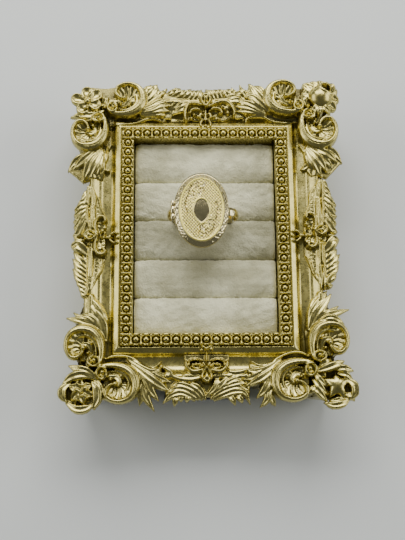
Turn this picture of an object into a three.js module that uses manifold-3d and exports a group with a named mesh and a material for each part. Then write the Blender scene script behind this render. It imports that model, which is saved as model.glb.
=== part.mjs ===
// Ring display: an ornate gold picture frame lying on its back. A tray of five padded velvet rolls
// fills its window, and a locket ring stands in the slot between the second and third rolls.
// Behind the tray are a backing board, turn buttons that hold it in, and a hinged easel strut.
//
// Millimetres, +Z out of the frame's face, +Y towards the frame's top, +X to its right. The part's
// origin lies under the middle of the frame's outline, on the surface that the frame rests on.

import * as THREE from 'three';
import { mergeVertices } from 'three/addons/utils/BufferGeometryUtils.js';
import Module from 'manifold-3d';

const wasm = await Module();
wasm.setup();

// ---------------------------------------------------------------- driving dimensions

// The window's middle stands off the outline's middle, because the casting is lopsided.
const WINDOW_X = -0.75;
const WINDOW_Y = 1.75;

const GAP = 0.3;                 // between neighbouring pieces

// The frame's face, from the window's middle.
const WINDOW_HALF_W = 25.2;
const WINDOW_HALF_H = 35.6;
const RISE = WINDOW_HALF_H - WINDOW_HALF_W;   // how much further up than across
const BAND_OUT = 29.5;           // outer edge of the beaded band
const FILLET_OUT = 32.1;         // outer edge of the smooth bead beside it
const GROOVE_OUT = 33.4;
const COVE_OUT = 39.5;           // where the ornament's ground begins
const BODY_OUT = 41.2;           // outer side of the plain moulding

const BEAD_TOP_Z = 23.4;
const BAND_Z = 22.0;
const BEAD_R = 1.35;
const BEAD_ROOT_Z = BAND_Z - 0.4;
const BEADS_ACROSS = 16;         // steps between corner beads
const BEADS_UP = 21;

// The levels at the back, from the resting face upwards.
const LEDGE_Z = 3.6;             // what the turn buttons turn on
const FELT_TOP_Z = 4.0;
const BOARD_BOTTOM_Z = FELT_TOP_Z + GAP;
const BOARD_TOP_Z = 6.7;
const PAD_BOARD_BOTTOM_Z = BOARD_TOP_Z + GAP;
const PAD_BOARD_TOP_Z = 8.0;
const REBATE_Z = PAD_BOARD_TOP_Z + GAP;
const REBATE_OUT = 28.6;
const RECESS_OUT = 36.5;
const NOTCH_HALF_W = 17.0;       // lets the strut's foot pass under the bottom rail
const NOTCH_Z = 3.5;
const NOTCH_NEAR_Y = 40;
const NOTCH_FAR_Y = 70;
const CLEAR_Z = 40;              // above everything, for cuts that run right through

// The velvet rolls, from the top of the tray down. The upper ones are stuffed a little wider.
const ROLL_WIDTHS = [14.6, 14.0, 14.2, 13.4, 13.2];
const ROLL_TOP_Z = 18.9;
const ROLL_SHOULDER_Z = 15.6;
const ROLL_BOTTOM_Z = PAD_BOARD_TOP_Z + GAP;
const SLEEVE_T = 0.8;            // the velvet with its backing
const ROLL_HALF_L = WINDOW_HALF_W - GAP;
const TRAY_TOP_Y = WINDOW_HALF_H - GAP;

// The ring. Its head sits a little off the shank, to the left and towards the frame's bottom.
const SHANK_X = -0.8;
const HEAD_X = -1.5;
const HEAD_OFF_Y = -0.6;
const FINGER_R = 9.0;
const SHANK_T = 1.4;
const SHANK_W = 2.6;
const HEAD_RX = 9.5;
const HEAD_RY = 13.4;
const HEAD_BOTTOM_Z = 28.7;
const HEAD_SPLIT_Z = 31.0;
const HEAD_TOP_Z = 33.3;
const HEAD_LEAN = 1.3;           // how far the head's walls lean in by its top and bottom
const HEAD_WALL = 1.7;
const RIM_W = 0.9;               // of the rim that holds a picture
const RIM_INSET_Z = 0.5;         // from the split
const RIM_FLOOR_Z = 1.1;         // from the outside of the floor
const RING_Z = HEAD_BOTTOM_Z - FINGER_R;
const SLOT_HALF_W = 1.65;        // half of the space the shank stands in
const SLOT_R = FINGER_R + SHANK_T + 0.5;
const SHOULDER_TURN = 0.58;      // radians from the ring's top to where the shank stops
const SHOULDER_T = 1.0;
const SHOULDER_W = 3.2;
// The shoulder wire's middle: [x, height] from the finger hole's middle.
const SHOULDER_PATH = [[11.2, 1.5], [11.8, 2.7], [12.0, 4.1], [11.3, 5.9], [9.9, 7.4], [8.0, 8.1]];

// The locket's hinge, from the head's middle.
const LOCKET_HINGE_X = -HEAD_RX - 0.35;
const LOCKET_KNUCKLE_R = 0.75;
const CASE_KNUCKLES = [[-3.3, -1.5], [1.5, 3.3]];
const LID_KNUCKLES = [[-1.2, 1.2]];
const LOCKET_PIN_HALF_L = 3.2;
const LOCKET_PIN_R = 0.35;
const LOCKET_TAB_T = 0.2;
const LOCKET_TAB_REACH = 1.6;
const LOCKET_CLEAR = { out: 1.0, in: 1.2, halfY: 3.6, halfZ: 1.0 };
const LOCKET_FLOOR_T = 0.8;

// The easel strut and its hinge.
const HINGE_Y = 22.0;
const HINGE_Z = 2.2;
const STRUT_TOP_Z = 3.2;
const STRUT_BOTTOM_Z = 1.5;
const STRUT_FOOT_Y = -55.4;
const STRUT_HALF_TOP = 8.0;
const STRUT_HALF_FOOT = 14.5;
const STRUT_TOP_GAP = 1.6;       // from the pin's middle to the strut's edge
const MOVING_LEAF_DROP = 0.1;
const LEAF_T = 0.4;
const LEAF_HALF_W = 7.0;
const LEAF_REACH = 9.0;
const KNUCKLE_R = 1.05;
const PIN_R = 0.5;
const RUNNING = 0.12;            // between a pin and the hole that it runs in
const BOARD_KNUCKLES = [[-6.6, -2.8], [2.8, 6.6]];
const STRUT_KNUCKLES = [[-2.4, 2.4]];
const PIN_HALF_L = 7.2;
const RIVET_XS = [-4, 4];
const RIVET_R = 0.6;
const RIVET_HEAD_R = 1.1;
const RIVET_HEAD_T = 0.4;
const RIVET_INSET = 2.6;         // from a hinge leaf's far edge
const BOARD_RIVET_HEAD_Z = 2.15;
const STRUT_RIVET_HEAD_Z = 0.35;

// The turn buttons and their screws.
const BUTTON_X = 32.3;
const BUTTON_Y = 21.0;
const BUTTON_REACH = 6.6;
const BUTTON_R = 2.4;
const BUTTON_TOP_Z = LEDGE_Z - GAP;
const BUTTON_BOTTOM_Z = 2.3;
const SCREW_R = 0.8;
const SCREW_HEAD_R = 1.7;
const SCREW_HEAD_Z = 0.9;
const SCREW_CHAMFER_Z = 1.6;
const SCREW_TOP_Z = 8.4;
const PILOT_R = SCREW_R + GAP;

// The ornament, from the window's middle: [x, y, radius].
const SIDE_SCROLLS = [
  [-41.7, -39.1, 6.6],
  [41.7, -37.5, 7.2],
  [-41.1, 37.8, 6.9],
  [41.1, 38.6, 7.2],
];
const END_SCROLLS = [
  [-29.3, -52.3, 7.0],
  [28.8, -51.6, 7.5],
  [-27.3, 50.4, 6.8],
  [28.3, 51.2, 7.0],
];
const CORNER_FLOWERS = [
  [-42.0, -54.9, 6.4],
  [43.6, -53.6, 6.3],
  [-42.2, 49.6, 6.0],
  [42.8, 52.0, 6.2],
];
const SCROLL_TOP_Z = 25.4;
const FLOWER_TOP_Z = 24.6;
const GROUND_Z = 19.5;
const GROUND_BOTTOM_Z = 4;

// Sections of a scroll and a flower: [share of the radius, offset, z].
const SCROLL_SECTION = [
  [0, 0, 7], [0.62, 0, 7], [0.96, 0, 15], [1, 0, 20], [1, -1.0, SCROLL_TOP_Z], [1, -2.6, 22.6],
  [0.4, 0, 22.2], [0.26, 0, 24.0], [0, 0, 24.6],
];
const FLOWER_SECTION = [
  [0, 0, 6], [0.6, 0, 6], [0.95, 0, 14], [1, 0, 21], [0.72, 0, FLOWER_TOP_Z], [0.38, 0, 22.8],
  [0.2, 0, FLOWER_TOP_Z], [0, 0, FLOWER_TOP_Z],
];

// The ground under one corner's ornament.
const CORNER_GROUND = [
  [37, 19.5], [42.6, 20.5], [47.2, 25.5], [47.2, 51], [42.5, 56.4], [22, 56.2], [17, 52],
  [17, 46], [37, 46],
];

// Leaves sprouting from the scrolls: [root x, root y, tip x, tip y, half width].
const LEAVES = [
  [-25, -50, -12.2, -51.5, 2.4],
  [-26, -52, -12.9, -55.2, 2.4],
  [-27, -54, -17.9, -61.7, 2.6],
  [-29, -46, -14.8, -46.0, 2.4],
  [25, -49, 8.4, -48.9, 2.6],
  [26, -52, 13.4, -53.0, 2.4],
  [27, -54, 18.2, -60.2, 2.6],
  [27, -45, 15.0, -45.6, 2.4],
  [-24, 52, -17.4, 57.4, 2.6],
  [-24, 49, -12.4, 50.6, 2.6],
  [-26, 46, -13.0, 46.4, 2.4],
  [24, 53, 16.8, 57.0, 2.4],
  [24, 51, 10.2, 55.8, 2.4],
  [25, 48, 10.6, 49.8, 2.4],
  [-42, -34, -47.4, -29.8, 2.4],
  [-41, -34, -42.4, -21.6, 2.6],
  [-38, -35, -37.8, -25.6, 2.4],
  [43, -32, 48.6, -26.6, 2.4],
  [41, -32, 43.2, -21.4, 2.6],
  [37, -33, 36.8, -25.0, 2.4],
  [-43, 33, -47.8, 24.6, 2.4],
  [-40, 33, -42.6, 20.4, 2.6],
  [-37, 33, -36.4, 22.2, 2.4],
  [42, 34, 46.6, 26.0, 2.4],
  [40, 34, 42.0, 21.6, 2.6],
  [36, 34, 35.6, 24.0, 2.4],
];
const LEAF_TOP_Z = 22.8;
const LEAF_BOTTOM_Z = 15;
const LEAF_BELLY = 0.45;         // where along it a leaf is widest

// The shell at the middle of each side: reach from the window's middle, and half its length.
const SIDE_SHELL = { root: 38.5, reach: 46.2, half: 17.0 };
const TOP_SHELL = { root: 48.0, reach: 55.6, half: 16.0 };
const BOTTOM_SHELL = { root: 49.0, reach: 58.8, half: 16.0 };
const SHELL_TOP_Z = 22.0;
const SHELL_BOTTOM_Z = 12;
const SHELL_FLUTES = 5;
const SHELL_SHOULDER = 3;        // how far beyond its root a shell's far corner still reaches
const SHELL_NOTCH = 0.8;         // how deep, and how far along its flute, each notch is
const SHELL_FOOT = { inner: 14, outer: 13, inset: 1.6, top: 12.5, bottom: 3 };
const TEARDROP = { out: 1.8, halfOut: 2.3, halfAlong: 1.5, halfUp: 4, top: 23.6 };
const STEM = { reach: 9, halfRoot: 1.1, halfTip: 0.7, top: 22.2 };
const CURL = { inset: 1.2, along: 3.9, rBottom: 2.5, rTop: 2.4, rim: 22.6, top: 23 };
const STEM_BOTTOM_Z = 18;

// ---------------------------------------------------------------- solids

const WELD = 1e-4;               // vertices closer than this are one

function solid(geometry) {
  const bare = geometry.clone();
  bare.deleteAttribute('normal');
  bare.deleteAttribute('uv');
  const merged = mergeVertices(bare, WELD);
  const corners = merged.index.array;
  const kept = [];
  for (let i = 0; i < corners.length; i += 3) {
    const [a, b, c] = corners.slice(i, i + 3);
    if (a !== b && b !== c && c !== a) kept.push(a, b, c);
  }
  return new wasm.Manifold(new wasm.Mesh({
    numProp: 3,
    vertProperties: Float32Array.from(merged.attributes.position.array),
    triVerts: Uint32Array.from(kept),
  }));
}

function geometryOf(body) {
  const mesh = body.getMesh();
  const geometry = new THREE.BufferGeometry();
  geometry.setAttribute('position', new THREE.BufferAttribute(mesh.vertProperties, 3));
  geometry.setIndex(new THREE.BufferAttribute(mesh.triVerts, 1));
  geometry.computeVertexNormals();
  return geometry;
}

function union(bodies) {
  return bodies.reduce((whole, body) => whole.add(body));
}

// A box from its low and high corners.
function block(x0, x1, y0, y1, z0, z1) {
  const box = new THREE.BoxGeometry(x1 - x0, y1 - y0, z1 - z0);
  box.translate((x0 + x1) / 2, (y0 + y1) / 2, (z0 + z1) / 2);
  return solid(box);
}

// An outline in X and Y, raised from z0 to z1.
function slab(shape, z0, z1, curveSegments = 6) {
  const options = { depth: z1 - z0, bevelEnabled: false, curveSegments };
  const geometry = new THREE.ExtrudeGeometry(shape, options);
  geometry.translate(0, 0, z0);
  return solid(geometry);
}

function polygon(points) {
  return new THREE.Shape(points.map(([x, y]) => new THREE.Vector2(x, y)));
}

// A profile of [radius, z] turned about a vertical axis at x, y.
function turned(profile, x, y, segments) {
  const points = profile.map(([r, z]) => new THREE.Vector2(r, z));
  const geometry = new THREE.LatheGeometry(points, segments);
  geometry.rotateX(Math.PI / 2);
  geometry.translate(x, y, 0);
  return solid(geometry);
}

// A cylinder between two heights, along Z.
function post(x, y, r, z0, z1, segments = 12) {
  return turned([[0, z0], [r, z0], [r, z1], [0, z1]], x, y, segments);
}

// A cylinder along X.
function bar(x0, x1, y, z, r, segments = 16) {
  const geometry = new THREE.CylinderGeometry(r, r, x1 - x0, segments);
  geometry.rotateZ(Math.PI / 2);
  geometry.translate((x0 + x1) / 2, y, z);
  return solid(geometry);
}

// A closed profile of [distance from the window's middle across, z], run round the window with
// mitred corners.
function mitred(profile) {
  const points = profile.map(([x, z]) => new THREE.Vector2(x * Math.SQRT2, z));
  const ring = new THREE.LatheGeometry([...points, points[0]], 4, Math.PI / 4);
  ring.rotateX(Math.PI / 2);
  const position = ring.attributes.position;
  for (let i = 0; i < position.count; i += 1) {
    const y = position.getY(i);
    position.setY(i, y + Math.sign(y) * RISE);
  }
  return solid(ring);
}

function named(name, body, material) {
  const mesh = new THREE.Mesh(geometryOf(body), material);
  mesh.name = name;
  return mesh;
}

// ---------------------------------------------------------------- materials

function finish(color, roughness, metalness) {
  return new THREE.MeshStandardMaterial({ color, roughness, metalness });
}

const champagneGold = () => finish(0xc2b077, 0.42, 0.85);
const ivoryVelvet = () => finish(0xe4ddcb, 0.95, 0);
const foam = () => finish(0xefe6c8, 0.9, 0);
const greyBoard = () => finish(0xb3a892, 0.9, 0);
const blackFlock = () => finish(0x24211f, 1.0, 0);
const brass = () => finish(0xb08d45, 0.35, 1);
const steel = () => finish(0x9b9c9e, 0.4, 1);
const yellowGold = () => finish(0xd9b45c, 0.22, 1);

// ---------------------------------------------------------------- the casting

function moulding() {
  return mitred([
    [WINDOW_HALF_W, REBATE_Z],
    [REBATE_OUT, REBATE_Z],
    [REBATE_OUT, LEDGE_Z],
    [RECESS_OUT, LEDGE_Z],
    [RECESS_OUT, 0],
    [BODY_OUT - 0.8, 0],
    [BODY_OUT, 1.2],
    [BODY_OUT, 16],
    [COVE_OUT + 0.6, 21.6],
    [COVE_OUT, 21.6],
    [37.2, 20.3],
    [35.0, 19.5],
    [GROOVE_OUT, 19.2],
    [FILLET_OUT, 19.6],
    [31.5, 20.9],
    [30.8, 21.2],
    [30.1, 20.9],
    [BAND_OUT, 20.2],
    [BAND_OUT, BAND_Z],
    [BAND_OUT - 0.4, BAND_Z + 0.5],
    [BAND_OUT - 0.8, BAND_Z],
    [WINDOW_HALF_W + 0.8, BAND_Z],
    [WINDOW_HALF_W + 0.4, BAND_Z + 0.5],
    [WINDOW_HALF_W, BAND_Z],
  ]);
}

function beads() {
  const across = (WINDOW_HALF_W + BAND_OUT) / 2;
  const up = across + RISE - 0.2;
  const places = [];
  for (let i = 0; i <= BEADS_ACROSS; i += 1) {
    const x = across * (2 * i / BEADS_ACROSS - 1);
    places.push([x, up], [x, -up]);
  }
  for (let i = 1; i < BEADS_UP; i += 1) {
    const y = up * (2 * i / BEADS_UP - 1);
    places.push([across, y], [-across, y]);
  }
  const dome = [[0, BEAD_ROOT_Z], [BEAD_R, BEAD_ROOT_Z], [BEAD_R * 0.6, BEAD_TOP_Z - GAP], [0, BEAD_TOP_Z]];
  return places.map(([x, y]) => turned(dome, x, y, 6));
}

// A dished scroll or flower: a cone that spreads from the body, a raised rim and an eye.
function dished(section, [x, y, r], segments) {
  return turned(section.map(([share, offset, z]) => [r * share + offset, z]), x, y, segments);
}

function leaf([x0, y0, x1, y1, half]) {
  const root = new THREE.Vector2(x0, y0);
  const tip = new THREE.Vector2(x1, y1);
  const along = tip.clone().sub(root);
  const side = new THREE.Vector2(-along.y, along.x).setLength(half * 2);
  const middle = root.clone().addScaledVector(along, LEAF_BELLY);
  const left = middle.clone().add(side);
  const right = middle.clone().sub(side);
  const shape = new THREE.Shape();
  shape.moveTo(x0, y0);
  shape.quadraticCurveTo(right.x, right.y, x1, y1);
  shape.quadraticCurveTo(left.x, left.y, x0, y0);
  return slab(shape, LEAF_BOTTOM_Z, LEAF_TOP_Z, 4);
}

// Half of a shell: a fan of flutes from the middle of a side out to a notched edge.
function shellOutline({ root, reach, half }) {
  const points = [];
  for (let i = 0; i <= SHELL_FLUTES; i += 1) {
    const along = half * i / SHELL_FLUTES;
    const edge = reach - (reach - root - SHELL_SHOULDER) * (i / SHELL_FLUTES) ** 3;
    points.push([edge, along]);
    if (i < SHELL_FLUTES) {
      points.push([edge - SHELL_NOTCH, along + half / SHELL_FLUTES * SHELL_NOTCH]);
    }
  }
  points.push([root, half]);
  return points;
}

// Both halves of a shell, its foot, teardrop, stem and curls, facing out of one side of the frame.
function cartouche(size, turn) {
  const half = shellOutline(size);
  const outline = [...half.map(([x, y]) => [x, -y]).reverse(), ...half];
  const fan = slab(polygon(outline), SHELL_BOTTOM_Z, SHELL_TOP_Z);
  const footOut = size.reach - SHELL_FOOT.inset;
  const foot = slab(polygon([
    [size.root - 1, -SHELL_FOOT.inner], [footOut, -SHELL_FOOT.outer],
    [footOut, SHELL_FOOT.outer], [size.root - 1, SHELL_FOOT.inner],
  ]), SHELL_FOOT.bottom, SHELL_FOOT.top);
  const drop = new THREE.SphereGeometry(1, 10, 6);
  drop.scale(TEARDROP.halfOut, TEARDROP.halfAlong, TEARDROP.halfUp);
  drop.translate(size.root + TEARDROP.out, 0, TEARDROP.top - TEARDROP.halfUp);
  const stem = slab(polygon([
    [size.root - STEM.reach, -STEM.halfTip], [size.root, -STEM.halfRoot],
    [size.root, STEM.halfRoot], [size.root - STEM.reach, STEM.halfTip],
  ]), STEM_BOTTOM_Z, STEM.top);
  const curl = [[0, STEM_BOTTOM_Z], [CURL.rBottom, STEM_BOTTOM_Z], [CURL.rTop, CURL.rim], [0, CURL.top]];
  const curls = [-1, 1].map((way) => turned(curl, size.root - CURL.inset, CURL.along * way, 10));
  return union([fan, foot, solid(drop), stem, ...curls]).rotate([0, 0, turn]);
}

function cornerGround(across, up) {
  const outline = CORNER_GROUND.map(([x, y]) => [across * x, up * y]);
  return slab(polygon(across * up > 0 ? outline : outline.reverse()), GROUND_BOTTOM_Z, GROUND_Z);
}

function casting() {
  const corners = [[-1, -1], [1, -1], [-1, 1], [1, 1]].map(([sx, sy]) => cornerGround(sx, sy));
  const sides = [
    cartouche(SIDE_SHELL, 0),
    cartouche(TOP_SHELL, 90),
    cartouche(SIDE_SHELL, 180),
    cartouche(BOTTOM_SHELL, 270),
  ];
  const window = block(-WINDOW_HALF_W, WINDOW_HALF_W, -WINDOW_HALF_H, WINDOW_HALF_H, -1, CLEAR_Z);
  const notch = block(-NOTCH_HALF_W, NOTCH_HALF_W, -NOTCH_FAR_Y, -NOTCH_NEAR_Y, -1, NOTCH_Z);
  const pilots = buttonPlaces().map(({ x, y }) => post(x, y, PILOT_R, -1, SCREW_TOP_Z + GAP, 8));
  const ornament = union([
    ...SIDE_SCROLLS.map((place) => dished(SCROLL_SECTION, place, 14)),
    ...END_SCROLLS.map((place) => dished(SCROLL_SECTION, place, 14)),
    ...CORNER_FLOWERS.map((place) => dished(FLOWER_SECTION, place, 10)),
    ...LEAVES.map(leaf),
    ...corners,
    ...sides,
  ]);
  return union([moulding(), ornament, ...beads()]).subtract(union([window, notch, ...pilots]));
}

// ---------------------------------------------------------------- the tray

// Where each roll begins and ends along Y, from the top of the tray down.
function rollSpans() {
  const spans = [];
  let top = TRAY_TOP_Y;
  for (const width of ROLL_WIDTHS) {
    spans.push([top - width, top]);
    top -= width + GAP;
  }
  return spans;
}

const SLOT_Y = (rollSpans()[1][0] + rollSpans()[2][1]) / 2;

// A roll's section: upright sides and a crown, drawn inset from the outer face.
function rollSection([y0, y1], inset) {
  const low = y0 + inset;
  const high = y1 - inset;
  const middle = (low + high) / 2;
  const shape = new THREE.Shape();
  shape.moveTo(low, ROLL_BOTTOM_Z);
  shape.lineTo(high, ROLL_BOTTOM_Z);
  shape.lineTo(high, ROLL_SHOULDER_Z);
  shape.absellipse(middle, ROLL_SHOULDER_Z, (high - low) / 2, ROLL_TOP_Z - inset - ROLL_SHOULDER_Z,
    0, Math.PI, false, 0);
  shape.lineTo(low, ROLL_BOTTOM_Z);
  return shape;
}

function rollSolid(span, inset) {
  const halfLength = ROLL_HALF_L - inset;
  const options = { depth: 2 * halfLength, bevelEnabled: false, curveSegments: 10 };
  const geometry = new THREE.ExtrudeGeometry(rollSection(span, inset), options);
  // The section's X and Y are the roll's Y and Z; its depth is the roll's X.
  geometry.rotateY(Math.PI / 2);
  geometry.rotateX(Math.PI / 2);
  geometry.translate(-halfLength, 0, 0);
  return solid(geometry);
}

// What the ring's shank needs: the disc it fills, open above so that it lifts out.
function shankSpace() {
  const disc = new THREE.CylinderGeometry(SLOT_R, SLOT_R, 2 * SLOT_HALF_W, 24);
  const body = solid(disc).translate([SHANK_X, SLOT_Y, RING_Z]);
  const above = block(SHANK_X - SLOT_R, SHANK_X + SLOT_R, SLOT_Y - SLOT_HALF_W, SLOT_Y + SLOT_HALF_W,
    RING_Z, CLEAR_Z);
  return body.add(above);
}

function tray(group) {
  const space = shankSpace();
  rollSpans().forEach((span, i) => {
    const hollow = rollSolid(span, SLEEVE_T);
    const sleeve = rollSolid(span, 0).subtract(hollow.add(hollow.translate([0, 0, -1])));
    const core = rollSolid(span, SLEEVE_T + GAP);
    group.add(named(`velvet_sleeve_${i + 1}`, sleeve.subtract(space), ivoryVelvet()));
    group.add(named(`foam_core_${i + 1}`, core.subtract(space), foam()));
  });
  const reach = REBATE_OUT - GAP;
  const board = block(-reach, reach, -reach - RISE, reach + RISE, PAD_BOARD_BOTTOM_Z, PAD_BOARD_TOP_Z);
  group.add(named('pad_board', board, greyBoard()));
}

// ---------------------------------------------------------------- the back

function buttonPlaces() {
  const places = [];
  for (const sx of [-1, 1]) {
    for (const sy of [-1, 1]) places.push({ x: sx * BUTTON_X, y: sy * BUTTON_Y, sx });
  }
  return places;
}

function turnButton({ x, y, sx }) {
  const shape = new THREE.Shape();
  const inner = x - sx * BUTTON_REACH;
  const low = Math.min(x, inner);
  const high = Math.max(x, inner);
  shape.moveTo(low, y - BUTTON_R);
  shape.lineTo(high, y - BUTTON_R);
  shape.absarc(high, y, BUTTON_R, -Math.PI / 2, Math.PI / 2, false);
  shape.lineTo(low, y + BUTTON_R);
  shape.absarc(low, y, BUTTON_R, Math.PI / 2, Math.PI * 1.5, false);
  const plate = slab(shape, BUTTON_BOTTOM_Z, BUTTON_TOP_Z, 8);
  return plate.subtract(post(x, y, SCREW_R + RUNNING, 0, LEDGE_Z));
}

function screw({ x, y }) {
  return turned([
    [0, SCREW_HEAD_Z],
    [SCREW_HEAD_R * 0.7, SCREW_HEAD_Z],
    [SCREW_HEAD_R, SCREW_CHAMFER_Z],
    [SCREW_HEAD_R, BUTTON_BOTTOM_Z - RUNNING],
    [SCREW_R, BUTTON_BOTTOM_Z - RUNNING],
    [SCREW_R, SCREW_TOP_Z - SCREW_R],
    [0, SCREW_TOP_Z],
  ], x, y, 12);
}

// One leaf of the hinge: a plate from the pin towards +Y or -Y, and its knuckles round the pin.
function hingeLeaf(way, plateZ, knuckles) {
  const near = HINGE_Y + way * (KNUCKLE_R + GAP);
  const far = HINGE_Y + way * LEAF_REACH;
  const plate = block(-LEAF_HALF_W, LEAF_HALF_W, Math.min(near, far), Math.max(near, far),
    plateZ, plateZ + LEAF_T);
  const parts = [plate];
  for (const [x0, x1] of knuckles) {
    parts.push(bar(x0, x1, HINGE_Y, HINGE_Z, KNUCKLE_R));
    const low = Math.min(HINGE_Y, far);
    const high = Math.max(HINGE_Y, far);
    parts.push(block(x0, x1, low, high, plateZ, plateZ + LEAF_T));
  }
  const bore = bar(-LEAF_HALF_W - 1, LEAF_HALF_W + 1, HINGE_Y, HINGE_Z, PIN_R + RUNNING);
  return union(parts).subtract(bore);
}

// A rivet from its head's outer face up to z1.
function rivet(x, y, headZ, z1) {
  const head = post(x, y, RIVET_HEAD_R, headZ, headZ + RIVET_HEAD_T, 10);
  return post(x, y, RIVET_R, headZ, z1, 10).add(head);
}

function rivetHoles(y) {
  return union(RIVET_XS.map((x) => post(x, y, RIVET_R + GAP, -1, BOARD_TOP_Z + 1, 10)));
}

function back(group) {
  const reach = REBATE_OUT - GAP;
  const up = reach + RISE;
  const rivetY = HINGE_Y + LEAF_REACH - RIVET_INSET;
  const holes = rivetHoles(rivetY);
  const board = block(-reach, reach, -up, up, BOARD_BOTTOM_Z, BOARD_TOP_Z);
  const felt = block(-reach, reach, -up, up, LEDGE_Z, FELT_TOP_Z);
  group.add(named('back_board', board.subtract(holes), greyBoard()));
  group.add(named('back_flock', felt.subtract(holes), blackFlock()));

  const leafZ = HINGE_Z + KNUCKLE_R - LEAF_T;
  const fixedLeaf = hingeLeaf(1, leafZ, BOARD_KNUCKLES).subtract(holes);
  group.add(named('hinge_leaf_board', fixedLeaf, steel()));
  group.add(named('hinge_pin', bar(-PIN_HALF_L, PIN_HALF_L, HINGE_Y, HINGE_Z, PIN_R), steel()));
  RIVET_XS.forEach((x, i) => {
    const body = rivet(x, rivetY, BOARD_RIVET_HEAD_Z, BOARD_TOP_Z - GAP);
    group.add(named(`board_rivet_${i + 1}`, body, steel()));
  });
  buttonPlaces().forEach((place, i) => {
    group.add(named(`turn_button_${i + 1}`, turnButton(place), brass()));
    group.add(named(`button_screw_${i + 1}`, screw(place), brass()));
  });
}

function easel(group) {
  const topY = HINGE_Y - STRUT_TOP_GAP;
  const shape = polygon([
    [-STRUT_HALF_FOOT, STRUT_FOOT_Y], [STRUT_HALF_FOOT, STRUT_FOOT_Y],
    [STRUT_HALF_TOP, topY], [-STRUT_HALF_TOP, topY],
  ]);
  const rivetY = HINGE_Y - LEAF_REACH + RIVET_INSET;
  const holes = rivetHoles(rivetY);
  const strut = slab(shape, STRUT_BOTTOM_Z, STRUT_TOP_Z);
  group.add(named('easel_strut', strut.subtract(holes), blackFlock()));
  const leafZ = HINGE_Z - KNUCKLE_R - MOVING_LEAF_DROP;
  const movingLeaf = hingeLeaf(-1, leafZ, STRUT_KNUCKLES).subtract(holes);
  group.add(named('hinge_leaf_strut', movingLeaf, steel()));
  RIVET_XS.forEach((x, i) => {
    const body = rivet(x, rivetY, STRUT_RIVET_HEAD_Z, STRUT_TOP_Z - GAP);
    group.add(named(`strut_rivet_${i + 1}`, body, steel()));
  });
}

// ---------------------------------------------------------------- the ring

function oval(rx, ry) {
  const shape = new THREE.Shape();
  shape.absellipse(0, 0, rx, ry, 0, Math.PI * 2, false, 0);
  return shape;
}

// An oval tray or lid: an outer wall that leans in towards its far face, and a hollow.
function ovalShell(zOpen, zClosed) {
  const up = zClosed > zOpen ? 1 : -1;
  const geometry = new THREE.CylinderGeometry(1, 1, 1, 32);
  geometry.rotateX(Math.PI / 2);
  const position = geometry.attributes.position;
  for (let i = 0; i < position.count; i += 1) {
    const atFace = position.getZ(i) * up > 0;
    const lean = atFace ? HEAD_LEAN : 0;
    position.setX(i, position.getX(i) * (HEAD_RX - lean));
    position.setY(i, position.getY(i) * (HEAD_RY - lean));
    position.setZ(i, atFace ? zClosed : zOpen);
  }
  const ends = [zOpen - up, zClosed - up * LOCKET_FLOOR_T];
  const inside = oval(HEAD_RX - HEAD_WALL, HEAD_RY - HEAD_WALL);
  const hollow = slab(inside, Math.min(...ends), Math.max(...ends), 18);
  return solid(geometry).subtract(hollow);
}

function ovalRim(z0, z1) {
  const outset = HEAD_WALL + GAP;
  const inset = outset + RIM_W;
  const outer = slab(oval(HEAD_RX - outset, HEAD_RY - outset), z0, z1, 18);
  return outer.subtract(slab(oval(HEAD_RX - inset, HEAD_RY - inset), z0 - 1, z1 + 1, 18));
}

// The shank: a band round the finger, open at the top where the shoulders carry the head.
function shank() {
  const shape = new THREE.Shape();
  const start = Math.PI / 2 + SHOULDER_TURN;
  const end = Math.PI * 2.5 - SHOULDER_TURN;
  shape.absarc(0, 0, FINGER_R + SHANK_T, start, end, false);
  shape.absarc(0, 0, FINGER_R, end, start, true);
  const options = { depth: SHANK_W, bevelEnabled: false, curveSegments: 28 };
  const geometry = new THREE.ExtrudeGeometry(shape, options);
  geometry.translate(0, 0, -SHANK_W / 2);
  geometry.rotateX(Math.PI / 2);
  return solid(geometry).translate([0, 0, RING_Z]);
}

// A shoulder: a scroll of wire that curls out of the shank's flank and in under the head.
function shoulder(side) {
  const place = ([x, rise]) => new THREE.Vector3(side * x, 0, RING_Z + rise);
  const path = new THREE.CatmullRomCurve3(SHOULDER_PATH.map(place));
  const section = new THREE.Shape();
  section.absellipse(0, 0, SHOULDER_W / 2, SHOULDER_T / 2, 0, Math.PI * 2, false, 0);
  const options = { steps: 14, extrudePath: path, curveSegments: 5 };
  return solid(new THREE.ExtrudeGeometry(section, options));
}

// A cylinder along Y at the locket's hinge.
function hingeBar(y0, y1, r, segments = 14) {
  const geometry = new THREE.CylinderGeometry(r, r, y1 - y0, segments);
  geometry.translate(LOCKET_HINGE_X, (y0 + y1) / 2, 0);
  return solid(geometry).translate([0, 0, HEAD_SPLIT_Z]);
}

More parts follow.
